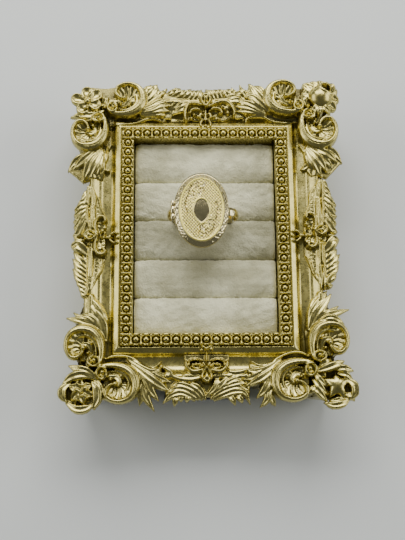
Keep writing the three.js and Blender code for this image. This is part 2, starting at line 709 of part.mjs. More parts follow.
// One half of the locket: its shell cleared round the hinge, with knuckles on tabs. The way is 1
// for the lid, above the split, and -1 for the case below it.
function locketHalf(way, farZ, knuckles) {
  const nearZ = HEAD_SPLIT_Z + way * GAP / 2;
  const tabLow = Math.min(way * LOCKET_TAB_T, way * LOCKET_KNUCKLE_R) + HEAD_SPLIT_Z;
  const tabHigh = Math.max(way * LOCKET_TAB_T, way * LOCKET_KNUCKLE_R) + HEAD_SPLIT_Z;
  const { halfY, halfZ } = LOCKET_CLEAR;
  const clear = block(LOCKET_HINGE_X - LOCKET_CLEAR.out, LOCKET_HINGE_X + LOCKET_CLEAR.in, -halfY, halfY,
    HEAD_SPLIT_Z - halfZ, HEAD_SPLIT_Z + halfZ);
  const parts = [ovalShell(nearZ, farZ).subtract(clear)];
  for (const [y0, y1] of knuckles) {
    parts.push(hingeBar(y0, y1, LOCKET_KNUCKLE_R));
    parts.push(block(LOCKET_HINGE_X, LOCKET_HINGE_X + LOCKET_TAB_REACH, y0, y1, tabLow, tabHigh));
  }
  const bore = hingeBar(-LOCKET_PIN_HALF_L - 1, LOCKET_PIN_HALF_L + 1, LOCKET_PIN_R + RUNNING, 10);
  return union(parts).subtract(bore);
}

function ring(group) {
  const band = (name, body) => {
    group.add(named(name, body.translate([SHANK_X, SLOT_Y, 0]), yellowGold()));
  };
  const head = (name, body) => {
    group.add(named(name, body.translate([HEAD_X, SLOT_Y + HEAD_OFF_Y, 0]), yellowGold()));
  };
  band('ring_shank', shank());
  band('ring_shoulder_left', shoulder(-1));
  band('ring_shoulder_right', shoulder(1));
  head('locket_case', locketHalf(-1, HEAD_BOTTOM_Z, CASE_KNUCKLES));
  head('case_photo_rim', ovalRim(HEAD_BOTTOM_Z + RIM_FLOOR_Z, HEAD_SPLIT_Z - RIM_INSET_Z));
  head('locket_hinge_pin', hingeBar(-LOCKET_PIN_HALF_L, LOCKET_PIN_HALF_L, LOCKET_PIN_R, 10));
  head('locket_lid', locketHalf(1, HEAD_TOP_Z, LID_KNUCKLES));
  head('lid_photo_rim', ovalRim(HEAD_SPLIT_Z + RIM_INSET_Z, HEAD_TOP_Z - RIM_FLOOR_Z));
}

// ---------------------------------------------------------------- assembly

const display = new THREE.Group();
const face = new THREE.Group();
face.position.set(WINDOW_X, WINDOW_Y, 0);
display.add(face);
face.add(named('frame_casting', casting(), champagneGold()));
tray(face);
back(face);
easel(face);
ring(face);

export default display;
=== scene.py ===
import math

import bpy
import numpy as np
from mathutils import Matrix, Vector


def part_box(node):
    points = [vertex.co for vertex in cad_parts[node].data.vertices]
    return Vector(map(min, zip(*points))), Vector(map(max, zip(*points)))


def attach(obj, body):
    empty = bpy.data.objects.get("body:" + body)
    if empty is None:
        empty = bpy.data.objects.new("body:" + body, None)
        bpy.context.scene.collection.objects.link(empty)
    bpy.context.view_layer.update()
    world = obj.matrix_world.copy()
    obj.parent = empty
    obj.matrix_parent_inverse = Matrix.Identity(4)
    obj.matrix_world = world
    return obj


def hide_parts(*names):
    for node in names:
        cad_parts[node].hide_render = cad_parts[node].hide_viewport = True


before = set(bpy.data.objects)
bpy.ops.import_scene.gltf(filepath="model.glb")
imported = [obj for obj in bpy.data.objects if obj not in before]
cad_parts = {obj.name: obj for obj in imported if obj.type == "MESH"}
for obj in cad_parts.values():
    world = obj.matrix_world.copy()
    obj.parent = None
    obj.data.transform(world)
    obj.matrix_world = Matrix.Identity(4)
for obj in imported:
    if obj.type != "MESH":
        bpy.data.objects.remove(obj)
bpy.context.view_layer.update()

# The looks of an ornate gold picture frame that is a ring box: carved resin, velvet rolls, a locket
# ring, and a flocked easel back. Shapes are worked out in millimetres from the window's middle, with
# +X to the right, +Y to the frame's top and +Z out of its face, and turned into metres as meshes.

MM = 0.001


def box_mm(*nodes):
    """The lowest and highest corners of some CAD nodes together, in millimetres."""
    corners = [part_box(node) for node in nodes]
    low = np.min([c[0] for c in corners], axis=0) / MM
    high = np.max([c[1] for c in corners], axis=0) / MM
    return low, high


# ------------------------------------------------------------------ sizes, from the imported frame

pad_low, pad_high = box_mm("pad_board")
WINDOW = (pad_low + pad_high) / 2 * (1, 1, 0)
rolls_low, rolls_high = box_mm(*[f"velvet_sleeve_{i}" for i in range(1, 6)])
casting_high = box_mm("frame_casting")[1][2]

GAP = 0.3
HALF_W = (rolls_high[0] - rolls_low[0]) / 2 + GAP
HALF_H = (rolls_high[1] - rolls_low[1]) / 2 + GAP
RISE = HALF_H - HALF_W
BAND_MIDDLE = HALF_W + 2.12
BAND_OUT = HALF_W + 4.3
BODY_OUT = HALF_W + 16.0
REBATE_Z = pad_high[2] + GAP
BAND_Z = casting_high - 3.4
BEAD_TOP = casting_high - 2.0
BEADS_ALONG_SIDE, BEADS_ALONG_END = 21, 16
BEAD_R = 1.15
BEAD_RING_R, BEAD_RING_HALF = 1.63, 0.27
FILLET_OFFSET, FILLET_HALF = 1.95, 0.22

# The notch in the bottom rail that the strut's foot passes through.
NOTCH_HALF_W = 17.0
NOTCH_Z = 3.5

# Each roll's lightness, from the top down: its nap, and on the third roll also a painted shadow of the
# ring. Then the velvet's own two shades.
NAP_AND_RING_SHADOW = [1.0, 1.01, 0.79, 0.97, 1.02]
IVORY_LIGHT, IVORY_DARK = (0.85, 0.83, 0.57), (0.50, 0.48, 0.30)

# The ring: the thickness of its shank, the shape and split of its head, and its hinge barrels.
SHANK_THICK = 1.4
HEAD_SHAPE = 0.709
SPLIT_Z = 31.0
SPLIT_HALF_GAP = 0.15
KNUCKLE_R = 0.75
PIN_CLEAR = 0.42

# The moulding's face, as distance from the window's middle across it, and height.
FACE = np.array([
    [BAND_OUT + 0.03, 20.9], [29.62, 21.7], [29.9, 21.95], [30.3, 21.85], [31.0, 21.45], [31.6, 21.1],
    [32.0, 20.7], [32.35, 20.1], [32.8, 19.6], [33.5, 19.35], [34.4, 19.25], [35.4, 19.25], [36.4, 19.4],
    [37.4, 19.9], [38.2, 20.7], [38.9, 21.4], [39.5, 21.8], [40.2, 21.7], [40.9, 20.6], [BODY_OUT, 18.5],
])


# ------------------------------------------------------------------ meshes

def to_metres(points):
    return (np.asarray(points, float) + WINDOW) * MM


def mesh_object(name, points, *groups, sharp_deg=50.0):
    """A smooth-shaded object from millimetre points and groups of faces, each group of one size."""
    groups = [np.asarray(group, np.int32) for group in groups]
    sizes = np.concatenate([np.full(len(group), group.shape[1]) for group in groups])
    starts = np.concatenate([[0], np.cumsum(sizes)[:-1]]).astype(np.int32)
    mesh = bpy.data.meshes.new(name)
    mesh.vertices.add(len(points))
    mesh.vertices.foreach_set("co", to_metres(points).astype(np.float32).ravel())
    mesh.loops.add(int(sizes.sum()))
    mesh.loops.foreach_set("vertex_index", np.concatenate([group.ravel() for group in groups]))
    mesh.polygons.add(len(sizes))
    mesh.polygons.foreach_set("loop_start", starts)
    mesh.polygons.foreach_set("use_smooth", np.ones(len(sizes), bool))
    mesh.update(calc_edges=True)
    mesh.set_sharp_from_angle(angle=math.radians(sharp_deg))
    obj = bpy.data.objects.new(name, mesh)
    bpy.context.scene.collection.objects.link(obj)
    return obj


def grid_faces(rows, cols, closed):
    """Faces of a grid of closed rows of points. Closed, its last row also joins its first."""
    r, c = np.meshgrid(np.arange(rows if closed else rows - 1), np.arange(cols), indexing="ij")
    r, c = r.ravel(), c.ravel()
    r1, c1 = (r + 1) % rows, (c + 1) % cols
    return np.stack([r * cols + c, r * cols + c1, r1 * cols + c1, r1 * cols + c], axis=1)


def swept_loop(name, loops):
    """A closed ring of equal closed sections: loops[i][j] is point j of section i."""
    loops = np.asarray(loops, float)
    faces = grid_faces(loops.shape[0], loops.shape[1], True)
    return mesh_object(name, loops.reshape(-1, 3), faces)


def capped_sweep(name, sections):
    """A closed body through equal closed sections, each end closed by a fan to its middle."""
    sections = np.asarray(sections, float)
    n, m = sections.shape[:2]
    points = np.vstack([sections.reshape(-1, 3), sections[0].mean(0), sections[-1].mean(0)])
    j = np.arange(m)
    j1 = (j + 1) % m
    last = (n - 1) * m
    start = np.stack([np.full(m, n * m), j, j1], axis=1)
    end = np.stack([np.full(m, n * m + 1), last + j1, last + j], axis=1)
    return mesh_object(name, points, grid_faces(n, m, False)[:, ::-1], start, end)


def face_height(across):
    return np.interp(across, FACE[:, 0], FACE[:, 1])


def smooth_path(rows, per=8):
    """A Catmull-Rom curve through rows of numbers, every column carried along."""
    p = np.asarray(rows, float)
    p = np.vstack([2 * p[0] - p[1], p, 2 * p[-1] - p[-2]])
    t = np.linspace(0, 1, per, endpoint=False)[:, None]
    parts = []
    for a, b, c, d in zip(p[:-3], p[1:-2], p[2:-1], p[3:]):
        cubic = (3 * (b - c) + d - a) * t**3 + (2 * a - 5 * b + 4 * c - d) * t**2 + (c - a) * t
        parts.append(b + cubic / 2)
    return np.vstack([*parts, p[-2:-1]])


def waves(x, y, scale, seed):
    """A smooth, repeatable unevenness between about -1 and 1."""
    turn = np.random.default_rng(seed).uniform(0, 2 * math.pi, (5, 2))
    total = np.zeros(np.shape(x))
    for direction, phase in turn:
        along = np.cos(direction) * x + np.sin(direction) * y
        total = total + np.sin(along * 2 * math.pi / scale + phase)
    return total / 3.0


# ------------------------------------------------------------------ carving

NOTHING = -99.0


def ridge(drop):
    return lambda u, w: drop * (np.sqrt(1 - u**2) - 1)


def finger(drop, gouge):
    """A leaf's finger: rounded, with a channel down its middle."""
    return lambda u, w: drop * (np.sqrt(1 - u**4) - 1) - gouge * np.exp(-((u / 0.5) ** 2))


def fluted(drop, ribs, depth, lean):
    """A band of parallel rounded ribs that leans to one side, and a plain strand where it is thin."""
    def shape(u, w):
        full = np.clip((w - 0.7) / 0.5, 0, 1)
        rib = np.abs(np.sin(ribs * math.pi * (u + 1) / 2)) ** 0.7
        dome = drop * (0.5 + 0.5 * full) * (np.sqrt(1 - np.abs(u) ** (2 + full)) - 1)
        return dome + full * (depth * (rib - 1) + lean * u)
    return shape


def cupped(drop, cup):
    """A petal: a dish with a raised rim."""
    return lambda u, w: drop * (np.sqrt(1 - u**8) - 1) - cup * (1 - u**2)


class Relief:
    """A height map in millimetres over a patch, and how far each point is inside its outline."""

    def __init__(self, x0, x1, y0, y1, step):
        self.step = step
        self.x = np.arange(x0, x1 + step / 2, step)
        self.y = np.arange(y0, y1 + step / 2, step)
        self.X, self.Y = np.meshgrid(self.x, self.y)
        self.top = np.full(self.X.shape, NOTHING)
        self.reach = np.full(self.X.shape, NOTHING)

    def window(self, x0, x1, y0, y1):
        ix = slice(*np.searchsorted(self.x, [x0, x1]))
        iy = slice(*np.searchsorted(self.y, [y0, y1]))
        return iy, ix

    def put(self, at, top, reach):
        """Lays a shape over what is there: the higher surface wins."""
        old_top, old_reach = self.top[at], self.reach[at]
        inside = reach >= 0
        nearer = (reach > old_reach) & (old_reach < 0)
        self.top[at] = np.where(inside, np.maximum(old_top, top), np.where(nearer, top, old_top))
        self.reach[at] = np.maximum(old_reach, reach)

    def stroke(self, rows, shape, per=7):
        """Carves a band along a curve. Each row is x, y, half width and height of its crest."""
        path = smooth_path(rows, per)
        half = np.maximum(path[:, 2], 0.05)
        margin = half.max() + 3 * self.step
        low, high = path[:, :2].min(0) - margin, path[:, :2].max(0) + margin
        at = self.window(low[0], high[0], low[1], high[1])
        X, Y = self.X[at], self.Y[at]
        if X.size == 0:
            return
        best = np.full(X.shape, 1e9)
        signed, width, crest = (np.zeros(X.shape) for _ in range(3))
        for a, b, wa, wb in zip(path[:-1], path[1:], half[:-1], half[1:]):
            d = b[:2] - a[:2]
            length = math.hypot(*d)
            if length < 1e-6:
                continue
            t = np.clip(((X - a[0]) * d[0] + (Y - a[1]) * d[1]) / length**2, 0, 1)
            dx, dy = X - a[0] - t * d[0], Y - a[1] - t * d[1]
            w = wa + t * (wb - wa)
            q = np.hypot(dx, dy) / w
            better = q < best
            best = np.where(better, q, best)
            side = np.where(d[0] * dy - d[1] * dx < 0, -1.0, 1.0)
            signed = np.where(better, side * q, signed)
            width = np.where(better, w, width)
            crest = np.where(better, a[3] + t * (b[3] - a[3]), crest)
        top = crest + shape(np.clip(signed, -1, 1), width)
        self.put(at, top, (1 - best) * width)

    def dome(self, x, y, r, z, drop=None):
        self.stroke([[x, y, r, z], [x + 0.02, y, r, z]], ridge(drop or r), per=1)

    def dent(self, x, y, r, depth):
        """Presses a round hollow into what is there."""
        at = self.window(x - 2.5 * r, x + 2.5 * r, y - 2.5 * r, y + 2.5 * r)
        away = np.hypot(self.X[at] - x, self.Y[at] - y) / r
        self.top[at] -= np.where(self.reach[at] > 0, depth * np.exp(-(away**4)), 0)

    def ground(self, outline, height):
        """Lays flat or shaped ground inside an outline."""
        reach = inside_by(self.X, self.Y, outline)
        self.put((slice(None), slice(None)), height(self.X, self.Y, reach), reach)


def inside_by(X, Y, outline):
    """How far points are inside a closed outline, negative outside it."""
    outline = np.asarray(outline, float)
    nearest = np.full(X.shape, 1e9)
    inside = np.zeros(X.shape, bool)
    for a, b in zip(outline, np.roll(outline, -1, axis=0)):
        d = b - a
        t = np.clip(((X - a[0]) * d[0] + (Y - a[1]) * d[1]) / (d @ d + 1e-12), 0, 1)
        nearest = np.minimum(nearest, np.hypot(X - a[0] - t * d[0], Y - a[1] - t * d[1]))
        crosses = (a[1] > Y) != (b[1] > Y)
        rise = d[1] if abs(d[1]) > 1e-9 else 1e-9
        inside ^= crosses & (X < a[0] + (Y - a[1]) / rise * d[0])
    return np.where(inside, nearest, -nearest)


def shelf_height(across, level):
    """The lowest that ornament's ground lies as it runs out into the cove towards the window. It is
    level on the frame's ends and slopes on its long sides."""
    flat = np.interp(across, [32.0, 34.0, 35.4], [18.0, 19.3, 20.4])
    sloping = np.interp(across, [32.0, 34.6, 37.6], [18.0, 19.7, 21.0])
    return np.maximum(face_height(across), np.where(level, flat, sloping))


def soften(values, times):
    """A light smoothing that leaves the grid's edge alone."""
    for _ in range(times):
        inner = values[1:-1, 1:-1]
        cross = values[:-2, 1:-1] + values[2:, 1:-1] + values[1:-1, :-2] + values[1:-1, 2:]
        values[1:-1, 1:-1] = inner * 0.5 + cross * 0.125
    return values


def relief_object(name, relief, under, place, frost_and_cut_shade=None):
    """Closes a relief into a body. Its outline is the line where reach is nought, its underside is
    under(relief), and place turns its own X and Y into the frame's. Frost marks engraved metal, and
    is low in the cuts, where it paints shade."""
    reach = relief.reach
    corner = np.stack([reach[:-1, :-1], reach[:-1, 1:], reach[1:, 1:], reach[1:, :-1]])
    keep = (corner.min(0) > -relief.step) & (corner.mean(0) > 0)
    gy, gx = np.gradient(reach, relief.step)
    size = np.maximum(gx**2 + gy**2, 0.25)
    shift = np.where(reach < 0, -reach / size, 0)
    X, Y = relief.X + shift * gx, relief.Y + shift * gy
    top = relief.top
    solid = top > NOTHING + 1
    smoothed = soften(np.where(solid, top, 0.0).copy(), 2)
    whole = soften(solid.astype(float), 2) > 0.999
    top = np.where(whole, smoothed, top)
    bottom = under(relief, top)

    rows, cols = reach.shape
    used = np.zeros(reach.shape, bool)
    for dr in (0, 1):
        for dc in (0, 1):
            used[dr:rows - 1 + dr, dc:cols - 1 + dc] |= keep
    number = np.full(reach.shape, -1)
    count = int(used.sum())
    number[used] = np.arange(count)
    upper = np.stack([X[used], Y[used], top[used]], axis=1)
    lower = np.stack([X[used], Y[used], bottom[used]], axis=1)

    i, j = np.nonzero(keep)
    quad = np.stack([number[i, j], number[i, j + 1], number[i + 1, j + 1], number[i + 1, j]], axis=1)
    faces = [quad, quad[:, ::-1] + count]
    padded = np.pad(keep, 1)
    sides = [((0, 1), (0, 0), (0, 1)), ((1, 2), (0, 1), (1, 1)), ((2, 1), (1, 1), (1, 0)),
             ((1, 0), (1, 0), (0, 0))]
    for (pr, pc), a, b in sides:
        open_side = keep & ~padded[pr:pr + rows - 1, pc:pc + cols - 1]
        r, c = np.nonzero(open_side)
        p, q = number[r + a[0], c + a[1]], number[r + b[0], c + b[1]]
        faces.append(np.stack([q, p, p + count, q + count], axis=1))
    faces = np.vstack(faces)
    points = np.vstack([upper, lower])
    points[:, :2] = points[:, :2] @ np.asarray(place, float).T
    if np.linalg.det(place) < 0:
        faces = faces[:, ::-1]
    obj = mesh_object(name, points, faces, sharp_deg=60.0)
    # The hollow mark darkens the gold in recesses and on low ground: partly patina, partly painted shade.
    marks = {"hollow": (patina_and_painted_shade(relief), 0.12)}
    if frost_and_cut_shade is not None:
        marks["frost_and_cut_shade"] = (frost_and_cut_shade, 0.0)
    for mark_name, (upper_mark, lower_mark) in marks.items():
        mark = obj.data.attributes.new(mark_name, "FLOAT", "POINT")
        values = np.concatenate([upper_mark[used], np.full(count, lower_mark)])
        mark.data.foreach_set("value", values.astype(np.float32))
    return obj


def patina_and_painted_shade(relief):
    """Nought on a relief's high parts, one in its hollows and low ground: partly patina, partly painted
    shade.
    """
    height = np.where(relief.top > NOTHING + 1, relief.top, 19.0)
    near, wide = box_blur(height, round(0.7 / relief.step)), box_blur(height, round(1.6 / relief.step))
    low = 0.42 * np.clip((21.4 - height) / 1.4, 0, 1)
    sunk = np.clip(0.42 * (near - height) + 0.24 * (wide - height) - 0.06 + low, 0, 0.9)
    return box_blur(sunk, round(0.25 / relief.step))


def box_blur(values, reach):
    """Two passes of a plain square blur."""
    for _ in range(2):
        for axis in (0, 1):
            pads = [(reach + 1, reach) if axis == i else (0, 0) for i in (0, 1)]
            total = np.cumsum(np.pad(values, pads, mode="edge"), axis=axis)
            span = 2 * reach + 1
            high, low = [slice(None)] * 2, [slice(None)] * 2
            high[axis], low[axis] = slice(span, None), slice(None, -span)
            values = (total[tuple(high)] - total[tuple(low)]) / span
    return values


# ------------------------------------------------------------------ the frame's ornament

STEP = 0.2
OVERHANG_Z = 16.5
BURIED_Z = 14.0
LEAF_Z = 23.3
SCROLL_Z = 24.7
SWELL = 0.9
CORNER_GROUND = [[37, 19.5], [40.4, 20.5], [42.8, 26], [44.6, 31], [46.4, 38], [44.4, 42], [43.6, 46],
                 [45.6, 50], [45.4, 55], [42, 57.6], [36, 57], [32, 57.6], [26, 57.2], [21.5, 55.4],
                 [17.5, 53.5], [16.5, 50], [17, 46], [37, 46]]


def ornament_under(base_outline, across):
    """An underside: thin where the carving overhangs, and spreading down to the plain body."""
    def under(relief, top):
        base = inside_by(relief.X, relief.Y, base_outline)
        thin = top - 1.3 - 0.8 * np.clip(relief.reach, 0, 1.5)
        flank = np.interp(base, [0, 0.6, 1.3, 1.8], [OVERHANG_Z, 9.0, 4.6, 3.4])
        flank = np.where(across(relief.X, relief.Y) < BODY_OUT - 0.4, BURIED_Z, flank)
        body = (base > 0) | (across(relief.X, relief.Y) < BODY_OUT - 0.4)
        return np.where(body, np.minimum(thin, flank), np.minimum(thin, top - 1.0))
    return under


def corner_across(X, Y):
    return np.maximum(np.abs(X), np.abs(Y) - RISE)


def leaf(relief, half, *points, crest=LEAF_Z, fall=1.6, gouge=0.5):
    """One pointed finger of a leaf: narrow at its root, widest a third of the way, channelled."""
    count = len(points) - 1
    rows = []
    for i, (x, y) in enumerate(points):
        t = i / count
        width = half * float(np.interp(t, [0, 0.35, 0.7, 1], [0.6, 1.4, 1.25, 0.2]))
        z = crest + float(np.interp(t, [0, 0.35, 0.75, 1], [-1.1, 0.0, -0.15 * fall, -fall]))
        rows.append([x, y, width, z])
    relief.stroke(rows, finger(1.7, gouge))


def leaves(relief, rows, fall=1.6, gouge=0.5):
    """Several fingers. Each row is a half width, a crest, and the x and y of each point."""
    for half, crest, *flat in rows:
        leaf(relief, half, *zip(flat[::2], flat[1::2]), crest=crest, fall=fall, gouge=gouge)


def wire(relief, half, z, *points, drop=1.3, taper=True):
    """A rounded strand of one height."""
    last = len(points) - 1
    rows = [[x, y, half * (0.6 if taper and i in (0, last) else 1.0), z] for i,
            (x, y) in enumerate(points)]
    relief.stroke(rows, ridge(drop))


def wires(relief, rows, drop=1.3):
    """Several strands. Each row is a half width, a height, and the x and y of each point."""
    for half, z, *flat in rows:
        wire(relief, half, z, *zip(flat[::2], flat[1::2]), drop=drop)


# A C-scroll as it sits on a frame's side beside a corner, as outward offsets from its middle for an
# outer radius of SCROLL_R: from the small volute round the back to the open hook.
SCROLL_R = 6.9
SCROLL_BAND = [
    [-2.3, 4.1, 0.45], [-1.3, 4.9, 0.5], [-1.4, 6.5, 0.55], [-3.1, 7.4, 0.6], [-4.9, 6.5, 0.75],
    [-5.7, 4.1, 1.05], [-5.7, 1, 1.35], [-4.8, -2, 1.6], [-2.7, -4.4, 1.65], [0.2, -5.3, 1.55],
    [3, -4.9, 1.25], [5.1, -3.2, 1], [6.1, -0.4, 0.8], [5.8, 2.3, 0.75], [4.4, 4.3, 0.75],
    [2.4, 4.5, 0.75], [0.9, 3.2, 0.65], [0.3, 1.6, 0.5],
]
SCROLL_STRAND = [[-3.9, 3.4, 0.4], [-3.7, 0.6, 0.65], [-2.6, -1.8, 0.75], [-0.4, -3, 0.7],
                 [1.8, -2.7, 0.55], [3, -1.6, 0.35]]
SCROLL_FLUTES = [
    [[0.4, -0.9], [0.9, -2.6], [2.2, -4]],
    [[0.9, -0.6], [2, -2], [3.7, -2.9]],
    [[1.3, -0.1], [2.9, -1], [4.8, -1.2]],
    [[1.5, 0.7], [3.2, 0.5], [5.1, 0.9]],
    [[1.6, 1.6], [3, 1.9], [4.4, 2.9]],
    [[1.2, 2.2], [2, 3], [2.8, 4]],
]
SCROLL_COMMA = [[0.9, 0.4, 0.55], [-0.6, 0, 0.95], [-1.8, 1, 0.95], [-2.2, 2.6, 0.5]]
SCROLL_VOLUTE = [[-1.5, 6.6, 0.5], [-3.2, 7.5, 0.5], [-4.9, 6.4, 0.55], [-4.6, 4.7, 0.5],
                 [-3.2, 4.1, 0.45],
                 [-2, 4.9, 0.4], [-2.3, 6, 0.35]]
SCROLL_BALLS = [[-3.3, 5.5, 0.85, 0.3], [0.4, 1.4, 0.9, 0.1], [-1.1, 2.9, 0.65, -1.2],
                [-2.2, -0.4, 0.55, -1.2]]


def scroll(relief, middle, radius, swap, top):
    """One C-scroll. Swapping its X and Y makes the partner on the other side of the corner."""
    k = radius / SCROLL_R

    def at(x, y):
        x, y = (y, x) if swap else (x, y)
        return middle[0] + k * x, middle[1] + k * y

    def rows(points, heights):
        heights = np.interp(np.linspace(0, 1, len(points)), np.linspace(0, 1, len(heights)), heights)
        return [[*at(p[0], p[1]), p[2] * k, z] for p, z in zip(points, heights)]

    dish = [[*at(0.4, 0.1), 5.4 * k, top - 3], [*at(0.5, 0.1), 5.4 * k, top - 3]]
    relief.stroke(dish, cupped(0.3, 0.7), per=1)
    for flute in SCROLL_FLUTES:
        widths = [[*flute[0], 0.4], [*flute[1], 0.85], [*flute[2], 1]]
        relief.stroke(rows(widths, [top - 2.7, top - 2.4, top - 1.4]), ridge(0.9))
    relief.stroke(rows(SCROLL_STRAND, [top - 1.9, top - 1.2, top - 2.2]), ridge(1.3))
    relief.stroke(rows(SCROLL_COMMA, [top - 1.3, top - 1.5, top - 2.4]), finger(1.3, 0.45))
    lean = -0.45 if swap else 0.45
    heights = [top - 0.3, top - 0.5, top - 0.2, top, top - 0.1, top - 0.3, top - 0.5]
    relief.stroke(rows(SCROLL_BAND, heights), fluted(2.3, 4, 0.4, lean))
    relief.dome(*at(-3.3, 5.6), 1.9 * k, top - 1.3, 0.8)
    relief.stroke(rows(SCROLL_VOLUTE, [top - 0.1, top + 0.1, top - 0.3]), ridge(1.5))
    for x, y, r, lift in SCROLL_BALLS:
        relief.dome(*at(x, y), r * k, top + lift, 1.5)


def swell(relief, outline):
    """Ground that swells out of the cove with a rounded edge."""
    def height(X, Y, reach):
        rounded = SWELL * np.clip(reach / 0.9, 0, 1) ** 0.5 - 0.2
        shelf = shelf_height(corner_across(X, Y), np.abs(Y) - RISE > np.abs(X))
        return np.maximum(shelf, 19.7) + rounded
    relief.ground(outline, height)


def slab(relief, outline, z):
    relief.ground(outline, lambda X, Y, reach: z + 0.6 * np.clip(reach / 0.8, 0, 1) ** 0.5)


def bottom_left_leaves(relief):
    """Leaves and a crumpled rosette in a cup."""
    swell(relief, [[34, 44], [30, 43], [26, 43.3], [22, 45.6], [19, 47], [16.8, 46.4], [15.5, 45.2],
                   [14.6, 46.4], [16, 52], [34, 52], [42, 36], [42, 22], [38.4, 21], [36.4, 26],
                   [34.6, 30], [33.4, 35]])
    wires(relief, [[0.6, 22.2, 35.5, 44.6, 31, 43.2, 26, 43.6, 22, 46, 19, 47.3, 16.8, 46.6, 15.5,
                    45.2]])
    leaves(relief, [
        [1, 23.3, 26.5, 44.2, 21, 48, 17, 49.4, 12.2, 49.7],
        [1.1, 23.3, 25.5, 45.2, 20, 49.3, 16, 51, 11.6, 52.3],
        [1.2, 23.9, 25, 46.2, 19.8, 50.6, 16.2, 53.2, 12.6, 55.2],
        [1.15, 23.7, 24.5, 47.5, 20.6, 51.4, 18.8, 55.2, 16.2, 58.4],
        [1.2, 23.3, 23.8, 49.5, 21.4, 53, 20.6, 57, 17.7, 61.7],
        [0.9, 22.8, 23.2, 52.5, 22.4, 55, 22.2, 57.4, 22.7, 59.9],
        [0.7, 23.3, 22, 46.4, 19, 48.4, 16.8, 48.4, 14.8, 47.9],
        [1, 23.3, 36.5, 35, 39.5, 32.2, 43.5, 30.9, 47.8, 29.8],
        [0.95, 23.3, 36, 34.5, 39.5, 31.4, 42.6, 30.1, 45.5, 27.9],
        [0.85, 23.3, 35.4, 34.5, 38.4, 31, 40.8, 29.6, 42.8, 28.3],
        [1.6, 23, 34.4, 37.5, 35.6, 32.6, 38.2, 28.6, 42, 24.7],
        [1.5, 22.9, 35, 34, 36.4, 29.4, 38.6, 25.6, 41.9, 21],
        [1.3, 22.3, 34.6, 36, 35, 31, 36.4, 27, 38.4, 22],
    ])
    x, y = 41.9, 55.4
    relief.dome(x, y, 5.6, 21.8, 1.2)
    for tip in ((45.6, 53.6), (42.6, 51.6), (38.8, 53), (38.2, 57), (41.2, 59.4), (45, 58)):
        near = (x + (tip[0] - x) * 0.5 + 0.3, y + (tip[1] - y) * 0.5 - 0.3)
        leaf(relief, 1.35, (x, y), near, tip, crest=24, fall=1, gouge=0.7)
    wires(relief, [
        [0.5, 24.4, 39.4, 55.2, 40.8, 54.2, 42, 55.6, 43.6, 54.8, 44.8, 56.4],
        [0.45, 24.2, 39.6, 58, 41.2, 56.6, 43, 57.6, 43.8, 59.4],
        [0.45, 24.2, 40.4, 52.6, 41.8, 53.4, 43.8, 52.6],
    ])
    leaf(relief, 1.1, (46, 52.4), (48.2, 54.6), (48.3, 56.8), (46.9, 58.8), crest=24.1, fall=0.6)
    leaf(relief, 1.1, (46.8, 59), (43.6, 61.2), (40.4, 61), (38.4, 59.6), crest=23.7, fall=0.8)
    leaf(relief, 1.2, (37.8, 60.6), (36.6, 57.8), (37, 54.4), (38.8, 51.8), crest=24.1, fall=0.6)
    leaves(relief, [
        [1.25, 24.5, 37.6, 50.8, 41.6, 49.8, 45.4, 50.6, 48.4, 52.6],
        [1.3, 24.3, 37, 51, 40.2, 48.8, 43, 47.9, 46.6, 46.5],
        [0.8, 24, 40.4, 49, 41.8, 47.4, 43, 45.9],
        [1.1, 23.9, 37.6, 50, 36.2, 53.6, 35.6, 56, 33.8, 58.2],
        [0.9, 23.7, 38, 52, 37.2, 56, 36.4, 58.4],
    ])


